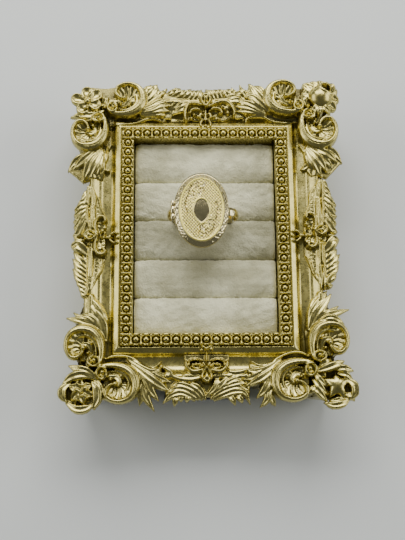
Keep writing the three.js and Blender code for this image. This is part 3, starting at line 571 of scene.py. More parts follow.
def bottom_right_leaves(relief):
    """Leaves and a smooth five-pointed star in a ragged cup."""
    swell(relief, [[34, 43], [31, 42], [28, 42.2], [24.5, 43.8], [21, 46.2], [18, 46.4], [15, 45.1],
                   [14.4, 46.6], [16, 52], [34, 52], [42, 36], [42, 21], [38.4, 20.4], [37, 24],
                   [36.2, 25.4], [34.4, 28], [33.6, 35]])
    wires(relief, [[0.6, 22.2, 35.5, 43.8, 32, 42.2, 28.5, 42.3, 24.5, 44, 21, 46.4, 18, 46.6, 15,
                    45.2]])
    leaves(relief, [
        [0.9, 22.8, 25.5, 43.8, 21.2, 46.8, 18.2, 47.2, 14.8, 45.9],
        [1, 23.3, 25, 44.6, 20.6, 47.8, 17, 48.7, 12, 47.9],
        [1.2, 23.3, 24.6, 45.6, 20, 48.9, 16.5, 50.5, 12, 51.5],
        [1.1, 23.8, 24.2, 46.8, 19.8, 50.3, 17, 52, 13, 53.6],
        [1.15, 23.6, 23, 50, 20.8, 52.8, 19.2, 55.4, 16.8, 57.6],
        [0.95, 23.3, 22, 53, 20.9, 56, 20, 58.6, 17.9, 60.7],
        [0.8, 22.8, 22.4, 54, 21.6, 56.6, 22.2, 58.8, 23.2, 60.2],
        [1.15, 23.3, 36.6, 34, 40, 30.6, 44, 28.8, 49.4, 27.1],
        [1, 23.3, 36.2, 33.4, 39.4, 30, 42.2, 28.4, 45.9, 25.9],
        [0.85, 25.2, 39, 31.6, 42, 30.6, 44.6, 31.2, 47.3, 32.7],
        [1.35, 23.3, 35.4, 34, 37.4, 29.6, 40.2, 26, 43.5, 21.6],
        [1.35, 23.1, 35.2, 33, 36.8, 28.8, 38.8, 25.2, 42, 20.5],
        [1.15, 22.7, 35, 33, 36.2, 28.6, 37.4, 25, 39.3, 21.2],
        [0.9, 22.3, 34.8, 32, 35.6, 28.8, 36.6, 26.4, 36.6, 22.8],
    ])
    x, y = 44, 53.8
    relief.dome(x, y, 5.4, 21.2, 1)
    for tip in ((40, 51.6), (43.4, 50.2), (47.6, 51.8), (46.2, 57.4), (41.6, 57.2)):
        near = (x + (tip[0] - x) * 0.45, y + (tip[1] - y) * 0.45)
        relief.stroke([[x, y, 2.1, 24.4], [*near, 1.7, 24.1], [*tip, 0.5, 23]], ridge(1.5))
    leaves(relief, [
        [1.15, 24.2, 47.4, 51.6, 49.6, 53.6, 49.8, 56.2, 48.4, 58.4],
        [0.9, 23.4, 46.6, 56.4, 48.4, 57.2, 49.8, 58.8],
    ], fall=0.8)
    leaves(relief, [
        [1.1, 24.3, 43.6, 48.2, 46.6, 48, 49.8, 48.7],
        [0.9, 23.9, 44.6, 49.6, 47.2, 50.2, 49.4, 51.4],
    ])
    leaves(relief, [
        [1, 23.7, 47.6, 58.6, 45.4, 59.9, 42.4, 60.4, 39.4, 59.4],
        [0.9, 23.5, 46.8, 58, 44, 58.6, 41.2, 58.8],
    ], fall=0.8)
    for shift in (0, 2.3, 4.5):
        leaf(relief, 1, (36.6 - shift * 0.3, 49.4 + shift), (38, 51.8 + shift),
             (40.8, 54.4 + shift * 1.1), crest=24.2 - shift * 0.1)
    leaves(relief, [
        [0.9, 23.6, 36.8, 53.4, 35.2, 55.2, 34.4, 56.4],
        [1.2, 24.5, 37.2, 48.9, 41, 47.8, 44, 46.6, 46.8, 45.3],
        [0.9, 24.1, 38.6, 48, 40.8, 46, 42.4, 44.2],
        [0.8, 23.9, 37.6, 47.6, 39.6, 46.2, 40.6, 45],
    ])


def top_left_leaves(relief):
    """Leaves with a thick slab behind them and a wide open flower."""
    swell(relief, [[33, 41.2], [29, 41.3], [24.5, 41.8], [21, 43.2], [17.8, 43.4], [15, 42.4],
                   [13.6, 43.8], [16, 52], [34, 52], [42, 36], [42, 20.5], [37, 20], [35.6, 22],
                   [35, 27], [34.4, 31], [33, 34]])
    slab(relief, [[44.5, 30.5], [48.7, 24.2], [43.2, 19.3], [40, 20.5], [38, 29]], 20.2)
    slab(relief, [[24, 47], [22.4, 55.2], [20.6, 56.4], [17.2, 57], [16, 54.6], [14.4, 53.4],
                  [17.6, 51.2]], 21.6)
    wires(relief, [[0.55, 21.9, 33.5, 41, 29, 41.4, 24.5, 42, 21, 43.4, 17.8, 43.6, 15, 42.4]])
    leaves(relief, [
        [1.25, 23.3, 23.2, 49, 20, 51.8, 18.2, 54.2, 17, 57.2],
        [1.15, 23, 23.2, 51, 21.6, 53.2, 20.6, 55, 19.4, 57],
        [1.1, 23.3, 23, 47.8, 19.6, 50, 17.4, 51.6, 14.4, 53.9],
        [1.15, 23.9, 23.5, 46.4, 19, 47.6, 16.2, 49.6, 12.4, 51.2],
        [1.05, 23.9, 23.5, 45.8, 18.8, 46.8, 15.5, 48.3, 11.4, 48.7],
        [1, 23.7, 23, 45.2, 18.6, 46, 15.6, 46.6, 12.4, 46.7],
        [0.85, 23.2, 22.5, 44.6, 18.6, 45, 15.8, 45.2, 13.6, 44.9],
        [0.8, 22.8, 17.5, 52.3, 15.4, 53.4, 13.4, 55.8],
        [0.8, 22.6, 14.4, 52.6, 11.8, 54, 10, 56.2],
        [1.3, 23.3, 37, 32.6, 40.5, 29.4, 43.4, 27, 46.4, 24.6],
        [1.2, 22.2, 39, 31.2, 43, 29.2, 46, 27.2, 48.7, 24.2],
        [1.4, 23.5, 37, 31.4, 39.6, 27.6, 41.4, 24.2, 43.1, 19.9],
        [1.25, 23.8, 36.6, 30.6, 38.4, 26.8, 39.6, 24, 41, 20.6],
        [1.15, 23.6, 36.2, 30, 37.4, 26.4, 38, 24, 38.6, 20.9],
        [0.95, 22.8, 35.6, 30, 36.4, 26.6, 36.6, 23.6, 36.4, 19.9],
    ])
    wires(relief, [
        [0.5, 22, 36.6, 25.8, 35.6, 24.2, 34.3, 23.5, 33.8, 24.3],
        [0.5, 22, 35, 33, 34.8, 29, 35.6, 26],
    ])
    x, y = 42, 49.4
    relief.dome(x, y, 4.4, 22.8, 1.4)
    for angle, far in ((0.30, 6.2), (1.50, 6), (2.45, 6.4), (3.5, 5.2), (5.3, 5.4)):
        c, sn = math.cos(angle), math.sin(angle)
        rows = [[x + c * 0.8, y + sn * 0.8, 0.9, 24.3], [x + c * 2.6, y + sn * 2.6, 2, 24.6],
                [x + c * (far - 2.2), y + sn * (far - 2.2), 2.3, 24.5]]
        relief.stroke(rows, cupped(1.6, 1.3))
    relief.dome(x, y, 1.1, 24.9, 0.9)
    relief.dent(x + 0.6, y - 3, 0.6, 1.2)
    leaves(relief, [
        [1.15, 23.6, 36.6, 46.4, 40.4, 44.4, 44, 44.5, 48.2, 44.3],
        [0.9, 23.6, 37.2, 46, 40.4, 43.2, 44.4, 42.6],
        [0.95, 23.9, 36.4, 48.6, 35.6, 50.6, 34.6, 52.6],
        [0.8, 23.9, 37, 47.6, 34.8, 48.4, 33.4, 50.2],
    ])


def top_right_leaves(relief):
    """Leaves with a thick slab behind them and a round bud with a torn opening."""
    swell(relief, [[33.6, 42.2], [29, 42], [24.6, 42.6], [21.6, 44.1], [17.6, 44.2], [15.6, 43.4],
                   [15, 41.9], [13.8, 44], [16, 52], [34, 52], [42, 36], [42, 21.5], [38, 21], [36, 24],
                   [36.8, 28], [36, 30.6], [34, 33.6]])
    slab(relief, [[45.5, 32], [48.4, 31], [49.4, 27.3], [43.7, 21], [40.6, 22], [38.5, 29]], 20.2)
    slab(relief, [[24, 47], [23, 55.2], [19, 56.4], [16.5, 57.2], [15.4, 53], [17.6, 49.5]], 21.4)
    wires(relief, [[0.55, 21.9, 34, 42.2, 29, 42.1, 24.6, 42.8, 21.6, 44.3, 17.6, 44.4, 15.4, 43.6, 15,
                    41.9]])
    leaves(relief, [
        [1.3, 23.6, 24, 47, 21, 50.6, 18.6, 54, 16.5, 57.6],
        [1.2, 23, 24, 50, 21.6, 53, 20.4, 55, 18.6, 56.9],
        [1.15, 23.9, 23.4, 46.4, 20, 49.4, 17.4, 51.6, 14.6, 52.3],
        [1, 23.2, 23.6, 49, 20.4, 51.8, 17.6, 53.6, 14.8, 55.2],
        [1, 23.8, 22, 45.6, 18, 48, 15, 49.4, 11.4, 50.5],
        [0.95, 23.6, 22, 45.2, 17.6, 47, 14.8, 47.8, 10.8, 48.7],
        [0.9, 23.2, 21.6, 45, 17.6, 46, 14.8, 46.4, 11.2, 46.6],
        [0.85, 22.9, 15.6, 52.4, 14.2, 54, 13.1, 57.4],
        [0.8, 22.6, 12.8, 52.4, 11.2, 53.8, 10.1, 56.4],
        [1.2, 23.6, 37, 33.4, 41, 31, 44.4, 29.4, 47.6, 27],
        [1.2, 22.6, 39.5, 32.8, 43.6, 32, 46.8, 30.2, 49.5, 27.1],
        [1.35, 23.9, 37, 32, 39.4, 29, 41.4, 26.6, 43.8, 23.2],
        [1.25, 23.7, 36.6, 31.4, 38.4, 28, 40, 25, 41.7, 21],
        [1.05, 23.2, 36.2, 31, 37.2, 28, 38.2, 25.6, 39.4, 22.3],
        [0.95, 23, 39.6, 31, 42, 28.6, 44.2, 26.6, 45.6, 25.2],
        [0.8, 21.9, 36.4, 29, 36.8, 26, 35.4, 24.6, 34.6, 25.4],
    ])
    wires(relief, [[0.55, 21.9, 34.2, 33.6, 36, 30.6, 36.8, 28, 36, 25.4]])
    x, y = 42.4, 51.6
    for tip in ((36, 53.6), (36.4, 57.2), (39.2, 57.9), (42.4, 58.3), (45.6, 57.6), (48.4, 55),
                (48.9, 50.8), (47.6, 47.2)):
        near = (x + (tip[0] - x) * 0.6, y + (tip[1] - y) * 0.6)
        leaf(relief, 1.9, (x, y), near, tip, crest=23.4, fall=0.9)
    relief.dome(x, y, 4.6, 25.8, 4.2)
    relief.dent(44.2, 55, 1.7, 3.4)
    relief.stroke([[46, 52.2, 0.7, 24.8], [43.8, 53, 0.9, 25.9], [42.2, 54.4, 0.9, 25.6],
                   [42.4, 56.2, 0.8, 24.9]], ridge(1.3))
    leaf(relief, 0.9, (46.2, 53), (46.8, 55.4), (45.2, 57.2), crest=24.6)
    for tip in ((38.8, 45.6), (41.4, 44.4), (45.8, 45.4)):
        leaf(relief, 1.1, (41.8, 48.4), ((41.8 + tip[0]) / 2, (48 + tip[1]) / 2), tip, crest=24.6)
    leaf(relief, 1, (37.2, 48.6), (36.2, 50.4), (35.6, 53), crest=24.1)


def corner_ornament(name, place, side_scroll, end_scroll, foliage):
    relief = Relief(6, 51, 17.5, 63, STEP)
    relief.ground(CORNER_GROUND, lambda X, Y, reach: 18 + 0 * X)
    foliage(relief)
    scroll(relief, side_scroll[:2], side_scroll[2], False, SCROLL_Z)
    scroll(relief, end_scroll[:2], end_scroll[2], True, SCROLL_Z)
    return relief_object(name, relief, ornament_under(CORNER_GROUND, corner_across), place)


# ------------------------------------------------------------------ the middle of each side

def side_relief(rise, edge):
    """A patch for the middle of a side. Its own X runs along the side and its own Y outwards."""
    return Relief(-23, 23, 28 + rise, edge + 4.5, STEP)


def rise_panel(relief, rise, outline):
    """Stippled ground that swells out of the cove."""
    def height(X, Y, reach):
        grain = 0.07 * waves(X, Y, 1.3, 5) + 0.05 * waves(X, Y, 0.8, 6)
        fade = np.clip((Y - rise - 32.6) / 3.6, 0, 1)
        rounded = SWELL * fade * np.clip(reach / 0.9, 0, 1) ** 0.5 - 0.2 * fade
        return shelf_height(Y - rise, rise > 0) + rounded + grain * (reach > 0.6)
    relief.ground(outline, height)


def teardrop(relief, a, o, point, long):
    """A pearl in an oval rim, with the rim's point towards the window."""
    rim = [(a, o - point), (a - 1.4, o - 0.6), (a - 1.5, o + 0.8), (a, o + long), (a + 1.5, o + 0.8),
           (a + 1.4, o - 0.6), (a, o - point)]
    relief.stroke([[a, o - 1, 1.3, 23.3], [a, o + 0.8, 1.9, 23.3]], ridge(0.6))
    relief.stroke([[a, o - 1, 0.4, 24.2], [a, o + 0.5, 1, 24.9]], ridge(1.3))
    wire(relief, 0.5, 24.6, *rim, drop=1.2, taper=False)


def left_side():
    """Shell ribs that sweep up to the notched edge, over two curls and a teardrop."""
    relief = side_relief(0, 46)
    slab(relief, [[-22, 40], [-20, 42], [-16, 44], [-12, 45.2], [2, 45.2], [10, 44.2], [16, 42.2],
                  [18, 40]], 20.4)
    rise_panel(relief, 0, [[-21, 40], [-17, 38], [-13.5, 36.2], [-11, 35.4], [-7.6, 34.6], [6.2, 34.6],
                           [10, 36.4], [13, 37.4], [15.2, 39.4], [19, 41], [10, 43], [-15, 43]])
    wires(relief, [
        [0.45, 22, 6, 35, 10, 36.6, 13.2, 37.6, 15.4, 39.6],
        [0.45, 22, -10.6, 35.4, -13.2, 36.2, -16.4, 38, -21, 39.8],
    ])
    for root, tip, edge in ((9, -0.2, 46.3), (9.6, 2.6, 46), (9.8, 4.6, 46.3), (10.4, 6.9, 46),
                            (11, 8.8, 45.4)):
        leaf(relief, 1.15, (root, 40.5), (root * 0.45 + tip * 0.55 + 0.8, 42.6), (tip + 0.3, 44.6),
             (tip, edge), crest=22.6, fall=1.2)
    leaves(relief, [
        [1.1, 22.6, 16.8, 40.6, 13, 42, 11, 43.6, 10.4, 45.2],
        [0.9, 22.2, 17, 41.4, 14.6, 42.2, 13, 44],
    ])
    for across in (38.9, 40, 41.2):
        wire(relief, 0.6, 22.9, (1.6, across * 0.4 + 24), (6, across), (9.8, across + 0.1))
        wire(relief, 0.65, 22.8, (10.4, across - 0.2), (14, across - 0.1), (17.4, across * 0.6 + 16.6))
    leaf(relief, 1.6, (-7.4, 40.6), (-5.4, 43), (-4.2, 44.8), (-4.4, 46.6), crest=23.2)
    for root, tip, edge in ((-12, -6.4, 46), (-14, -8.6, 46.3), (-15.4, -10.3, 46), (-17, -12.2, 46.2),
                            (-18.6, -13.9, 45.9), (-20, -15.8, 44.9), (-21.6, -18, 43.6),
                            (-22.6, -20.2, 42.6)):
        leaf(relief, 1.05, (root, 40.2), ((root + tip) / 2 - 0.2, (40.2 + edge) / 2 + 0.4), (tip, edge),
             crest=22.6, fall=1.3)
    for across in (39.2, 40.3):
        wire(relief, 0.6, 22.9, (-3.6, across), (-9, across + 0.2), (-15.4, across + 0.3))
    wires(relief, [[0.7, 22.6, -15.8, 40.6, -19, 40.6, -22, 41.2]])
    leaf(relief, 0.9, (0.6, 42), (0.2, 44), (0, 46), crest=22.4)
    wires(relief, [[0.6, 22.6, -2.4, 41.6, -2.2, 44, -1.6, 45.6]])
    curls(relief, -0.9, 40, 1, 1)
    teardrop(relief, -0.9, 40, 2.4, 2.1)
    foot(relief, -1.4, 36.8, 31.2)
    return relief


def right_side():
    """The same idea as the left side, from another hand: longer ribs and tighter curls."""
    relief = side_relief(0, 46.4)
    slab(relief, [[-20, 40], [-18.6, 42.6], [-14, 44.8], [-8, 45.8], [8, 45.6], [14, 44.6], [18, 43.2],
                  [20, 40]], 20.4)
    rise_panel(relief, 0, [[-20.5, 40.4], [-17.4, 39.4], [-14, 37.6], [-10, 36.2], [-7.6, 34.6],
                           [6.6, 34.6], [10, 36.6], [14.5, 37.2], [17.4, 38.8], [20.4, 41], [14, 43],
                           [-15, 43]])
    wires(relief, [
        [0.45, 22, 6.4, 34.8, 10, 36.7, 14.5, 37.3, 17.4, 38.9, 20, 40.4],
        [0.45, 22, -8, 35, -10.4, 36.2, -14, 37.4, -17.4, 39.2, -20.4, 40.4],
    ])
    for root, tip, edge in ((8, 1, 46.6), (9.8, 3.8, 46.2), (13, 6.7, 46.7), (14.2, 8.6, 46.5),
                            (15.4, 10.8, 46.6)):
        leaf(relief, 1.1, (root, 41.2), (root * 0.5 + tip * 0.5, 43.2), (tip + 0.3, 45), (tip, edge),
             crest=22.6, fall=1.3)
    leaves(relief, [
        [1, 22.6, 17, 41.4, 14.6, 43, 13.2, 45.9],
        [0.95, 22.4, 18.6, 41.6, 16.8, 43, 15.2, 45],
        [0.8, 22.4, 20.4, 41.4, 19, 42.6, 18, 44],
    ])
    for across in (39.6, 40.6, 41.7):
        wire(relief, 0.6, 22.9, (2, across * 0.5 + 20.2), (7, across), (13, across))
        wire(relief, 0.55, 22.6, (13.6, across), (17, across + 0.2), (20, across * 0.6 + 16.8))
    leaf(relief, 1.5, (-6.6, 41.6), (-4.4, 43.6), (-2.6, 45), (-1.8, 47), crest=23)
    for root, tip, edge in ((-10.4, -5.4, 46.2), (-12, -7.2, 47.2), (-14, -9.8, 46.9),
                            (-15.6, -11.6, 46.6), (-17.4, -14.2, 45.6)):
        leaf(relief, 1.1, (root, 41.4), ((root + tip) / 2 - 0.1, (41.4 + edge) / 2 + 0.3), (tip, edge),
             crest=22.6, fall=1.3)
    wires(relief, [[0.6, 23, -14.6, 44.8, -15.6, 43, -17.4, 41.8, -19, 42.4]])
    leaf(relief, 0.8, (-19.6, 41.4), (-18.8, 42.8), (-18.2, 44.4), crest=22.4)
    for across in (39.9, 41):
        wire(relief, 0.6, 22.9, (-2.6, across), (-7, across - 0.1), (-11, across))
        wire(relief, 0.6, 22.7, (-11.8, across), (-16, across + 0.3), (-20, across + 0.2))
    wires(relief, [[0.6, 22.6, -0.6, 42.2, -0.8, 44.4, -1.4, 46.2]])
    curls(relief, 0.6, 40.3, 0.95, 0.85)
    teardrop(relief, 0.9, 40.4, 2.3, 2.1)
    foot(relief, -0.8, 36.8, 31.2)
    return relief


def curls(relief, a, o, up, down):
    """Two curls that rise beside the stem and roll in, with stippled lobes inside them."""
    for way, size in ((1, up), (-1, down)):
        def at(da, do):
            return a + way * da * size, o + do * size
        relief.stroke([[*at(2, -3), 1.1, 22], [*at(4, -3.5), 1.9, 22.4], [*at(5, -3.8), 1.5, 22.2]],
                      finger(1, 0.25))
        for da, do, r in ((3, -4.9, 0.55), (1.8, -4, 0.5), (4.6, -3.2, 0.5), (3.4, -2.8, 0.45),
                          (5.4, -4, 0.4)):
            relief.dome(*at(da, do), r * size, 22.5, 0.7)
        wire(relief, 0.72 * size, 24.1, at(0.7, -2.4), at(2.4, -1.7), at(4.9, -1.7), at(6.6, -2.7),
             at(6.8, -4.4), at(5.5, -5.1), at(4.6, -4.3), drop=1.8)


def foot(relief, a, o, window):
    """The stem's lower end: a thin stalk, a cup of two small curls and a drop."""
    wire(relief, 0.55, 22.8, (a, o + 0.8), (a, o - 2.4), (a, window + 1.2))
    for way in (-1, 1):
        wire(relief, 0.5, 22.6, (a + way * 0.2, window + 2.6), (a + way * 1.2, window + 1.7),
             (a + way * 1.9, window + 0.7), (a + way * 1.6, window - 0.2))
        relief.dome(a + way * 1.7, window - 0.3, 0.5, 22.6, 0.7)
        wire(relief, 0.45, 22.4, (a + way * 0.4, o - 1.2), (a + way * 1.6, o - 1.8),
             (a + way * 2.6, o - 1.2))
    relief.dome(a, window - 0.4, 0.65, 22.9, 0.9)


def top_side():
    """A fan of fine ribs behind a teardrop and two wide curls."""
    relief = side_relief(RISE, 55.4)
    slab(relief, [[-16, 47], [16, 47], [15.5, 53.6], [12, 54.4], [-12, 54.4], [-15.5, 53.6]], 20.9)
    rise_panel(relief, RISE, [[-15.5, 44], [-12, 43.8], [-11.5, 45.2], [-7, 46], [-7, 43], [7.5, 43],
                              [10.8, 44.6], [11.5, 43.8], [14.5, 44.2], [14, 50], [9, 53.5], [-9, 53.5],
                              [-15, 50]])
    for root, tip in (((3.2, 50.8), (0.6, 55.6)), ((4.4, 51.2), (1.9, 55.4)),
                      ((5.6, 51.6), (3.6, 55.5)), ((7, 52), (5, 55.6)), ((8.8, 52.2), (6.4, 55.2)),
                      ((10.8, 52.2), (8.2, 55.6))):
        middle = ((root[0] + tip[0]) / 2 + 0.3, (root[1] + tip[1]) / 2 - 0.1)
        leaf(relief, 1, root, middle, tip, crest=22.8, fall=1.2)
    leaves(relief, [
        [1.1, 23, 8, 51.8, 11, 52, 14.8, 53],
        [1.1, 23.2, 9.6, 50.8, 12, 50.6, 15.6, 50.4],
        [0.9, 22.4, 11, 53.2, 13.2, 53.9, 15, 54.9],
    ])
    for root, tip in (((-3.4, 50.6), (-0.8, 55.5)), ((-5, 50.8), (-2, 55.4)),
                      ((-6.4, 51.2), (-3.4, 55.3)), ((-8.4, 51.8), (-4.6, 55.6)),
                      ((-10.4, 52.2), (-6.6, 55.2)), ((-12.4, 53), (-8.4, 55.8))):
        middle = ((root[0] + tip[0]) / 2 + 0.3, (root[1] + tip[1]) / 2 - 0.2)
        leaf(relief, 1, root, middle, tip, crest=22.8, fall=1.2)
    leaves(relief, [
        [1, 23.2, -6, 50.2, -8, 48.8, -10.8, 47.6],
        [1, 23, -5.4, 49.4, -8, 47.2, -11.6, 45.8],
        [0.8, 22.8, -9.6, 50.6, -11.4, 49.6, -12.4, 47.6],
    ])
    wires(relief, [[0.75, 23.6, 1.4, 47.6, 4, 49.2, 7, 50, 9.4, 48.9, 10.9, 46.4, 10.6, 44.4]],
          drop=1.8)
    wires(relief, [[0.6, 23.2, 1.8, 46.2, 3.6, 47.4, 5.8, 46.8, 6.4, 45.6, 5.2, 45.2]], drop=1.4)
    wires(relief, [[0.75, 23.6, -0.6, 48.4, -3, 49.2, -5.4, 48.9, -6.6, 47, -6.9, 44.4, -6.5, 42.6]],
          drop=1.8)
    wires(relief, [[0.55, 23, -0.8, 46.2, -2.6, 47.2, -4.6, 46.6, -5, 45.2]], drop=1.4)
    for a, o, r in ((8.2, 47.6, 1.1), (6.8, 48.2, 0.8), (8.6, 45.8, 0.8), (-3.6, 45, 0.6),
                    (-4.6, 43.6, 0.6), (3.4, 44.2, 0.6), (5.2, 43.4, 0.6), (-2.4, 44.4, 0.5),
                    (2.4, 45.2, 0.5), (-5.6, 45.6, 0.5)):
        relief.dome(a, o, r, 22.6, 0.8)
    wires(relief, [
        [0.6, 22.9, -0.9, 45.6, -1.6, 44.4, -0.8, 43.2],
        [0.6, 22.9, 1.7, 45.6, 2.4, 44.4, 1.6, 43.2],
    ])
    teardrop(relief, 0.6, 50.2, 2.6, 2)
    foot(relief, 0.5, 46.6, 41)
    return relief


def bottom_side():
    """Ribbons that arch out to the edge under a teardrop, two curls and a long stem."""
    relief = side_relief(RISE, 59)
    slab(relief, [[-15, 49], [15, 49], [14.4, 57.4], [9, 56.6], [4, 57.2], [-4, 57.2], [-9, 56.8],
                  [-13.6, 57.8]], 20.6)
    rise_panel(relief, RISE, [[-15, 46.6], [-13, 47.6], [-11.6, 49.6], [-9, 50.6], [-7.6, 48.5],
                              [-7.6, 42.8], [7.6, 42.8], [8, 48.5], [9.5, 49.6], [12.5, 49.2],
                              [14.5, 47], [14.5, 55], [8, 56.5], [-8, 56.5], [-14, 55]])
    wires(relief, [
        [0.9, 22.7, -14.6, 47.2, -12.6, 48.4, -11.4, 50.2, -8.6, 51.2, -5.4, 51.5, -2.4, 50.9],
        [0.9, 22.4, 13.6, 48, 11.4, 48.8, 9, 49, 7.6, 48.6],
    ], drop=1)
    ribbons = [
        (0.9, (-0.6, 57.6), (-2.2, 55), (-4.4, 53.4), (-6.4, 53.2)),
        (0.95, (-1.8, 57.8), (-3.4, 55.6), (-6, 54), (-9.4, 53), (-12, 53.6)),
        (0.95, (-3, 57.8), (-5, 56.2), (-7.6, 54.9), (-10.6, 54.6), (-13.4, 55.6)),
        (1, (-4.2, 58), (-6.4, 56.6), (-9.2, 56), (-12.2, 57), (-14.8, 59.2)),
        (0.7, (-6, 56.8), (-6.6, 57.8), (-6.8, 59)), (0.7, (-8.2, 56.6), (-8.6, 57.6), (-8.8, 58.8)),
        (0.8, (-10.2, 56.8), (-10.6, 58.4), (-11, 60.2)),
        (0.9, (0.2, 56.6), (2.4, 54.6), (3.4, 52.2), (3.2, 50.4)),
        (0.9, (1.6, 57.6), (4, 56.2), (7, 54.8), (10.4, 54), (14.4, 55)),
        (0.95, (2.6, 58), (6, 56.6), (9.2, 55.6), (12.6, 56), (14.6, 59.6)),
        (0.9, (2, 55.8), (4.6, 53.6), (6.4, 51.8), (8.8, 50.2)),
        (0.8, (3.6, 55), (6.8, 52.8), (9.6, 51.4), (12.6, 51)),
        (0.8, (4.8, 55.2), (8, 53.4), (11, 52.6), (13.4, 52.6)),
        (0.8, (6.8, 56.6), (8.6, 58), (9.6, 60)), (0.8, (9.6, 56.6), (11.2, 57.8), (12, 59.2)),
    ]
    for half, *points in ribbons:
        leaf(relief, half, *points, crest=23.2, fall=1.4)
    for way in (-1, 1):
        wire(relief, 0.8, 23.7, (way * 0.9, 47.9), (way * 2.6, 48.5), (way * 4.8, 48.6),
             (way * 6.6, 47.2), (way * 7.1, 45.2), drop=1.8)
        wire(relief, 0.5, 23, (way * 6, 46.6), (way * 5.6, 45), (way * 3.8, 44.5), (way * 1.8, 45),
             drop=1.4)
        wire(relief, 0.5, 22.8, (way * 2, 47.2), (way * 3.6, 47.5), (way * 5.2, 46.9), drop=1.2)
        for a, o, r in ((2.4, 46, 0.7), (3.6, 45.9, 0.6), (4.6, 46.2, 0.5), (1.4, 46.6, 0.5)):
            relief.dome(way * a, o, r, 22.4, 0.8)
    teardrop(relief, 0, 50.2, 2.8, 2.1)
    wires(relief, [
        [0.5, 22.8, 0, 46.6, 0, 44, 0, 41.2],
        [0.55, 22.9, -1.9, 39.9, -0.9, 40.3, 0, 40.9, 0.9, 40.3, 1.9, 39.9],
    ])
    relief.dome(-1.7, 41.3, 0.6, 22.8, 0.8)
    relief.dome(1.7, 41, 0.6, 22.8, 0.8)
    return relief


def side_cartouche(name, place, relief, rise, drop_at, edge):
    base = [[-14, drop_at - 2.5], [-13, edge - 2.8], [13, edge - 2.8], [14, drop_at - 2.5]]
    return relief_object(name, relief, ornament_under(base, lambda X, Y: Y - rise), place)


# ------------------------------------------------------------------ the plain moulding and beads

def arc_corner(points, radius, steps=4):
    """Rounds the corners of a closed outline."""
    points = np.asarray(points, float)
    out = []
    for before, here, after in zip(np.roll(points, 1, 0), points, np.roll(points, -1, 0)):
        to_before, to_after = before - here, after - here
        reach_in = min(radius, np.linalg.norm(to_before) * 0.45)
        reach_out = min(radius, np.linalg.norm(to_after) * 0.45)
        a = here + to_before / np.linalg.norm(to_before) * reach_in
        b = here + to_after / np.linalg.norm(to_after) * reach_out
        for t in np.linspace(0, 1, steps):
            out.append((1 - t) ** 2 * a + 2 * t * (1 - t) * here + t**2 * b)
    return np.array(out)


def moulding_body():
    """The casting under the ornament: window wall, band, fillet, cove, flank, rim and rebates."""
    ledge, recess = 3.6, HALF_W + 11.3
    rebate = HALF_W + 3.4
    fine = smooth_path(FACE, 3)
    outline = [[HALF_W, REBATE_Z], [HALF_W, BAND_Z - 1.5], [HALF_W + 0.4, BAND_Z - 1.2],
               [BAND_OUT - 0.3, BAND_Z - 1.2], [BAND_OUT, BAND_Z - 1.5], *fine.tolist(),
               [BODY_OUT, 1.0], [BODY_OUT - 0.8, 0.0], [recess, 0.0], [recess, ledge], [rebate, ledge],
               [rebate, REBATE_Z]]
    outline = arc_corner(outline, 0.25)
    corners = [(-1, -1), (1, -1), (1, 1), (-1, 1)]
    loops = []
    notch = 0.5 + NOTCH_HALF_W / (2 * BODY_OUT)
    marks = np.concatenate([np.linspace(0, 1, 60, endpoint=False),
                            [notch - 0.002, notch, 1 - notch, 1.002 - notch]])
    for (ax, ay), (bx, by) in zip(corners, corners[1:] + corners[:1]):
        for t in np.sort(marks):
            sx, sy = ax + (bx - ax) * t, ay + (by - ay) * t
            x, y = outline[:, 0] * sx, (outline[:, 0] + RISE) * sy
            z = outline[:, 1] + 0.05 * waves(x, y, 9.0, 3) * (outline[:, 1] > 15)
            if ax == bx:
                fuller = np.interp(outline[:, 0], [33.4, 36.6, 39.2], [0, 0.85, 0])
                z = z + fuller * (outline[:, 1] > 15) * np.clip(min(t, 1 - t) / 0.2, 0, 1)
            if ay == by == -1 and abs(t - 0.5) < notch - 0.501:
                z = np.maximum(z, np.where(outline[:, 0] > recess - 0.1, NOTCH_Z, z))
            loops.append(np.stack([x, y, z], axis=1))
    return swept_loop("moulding_body", loops)


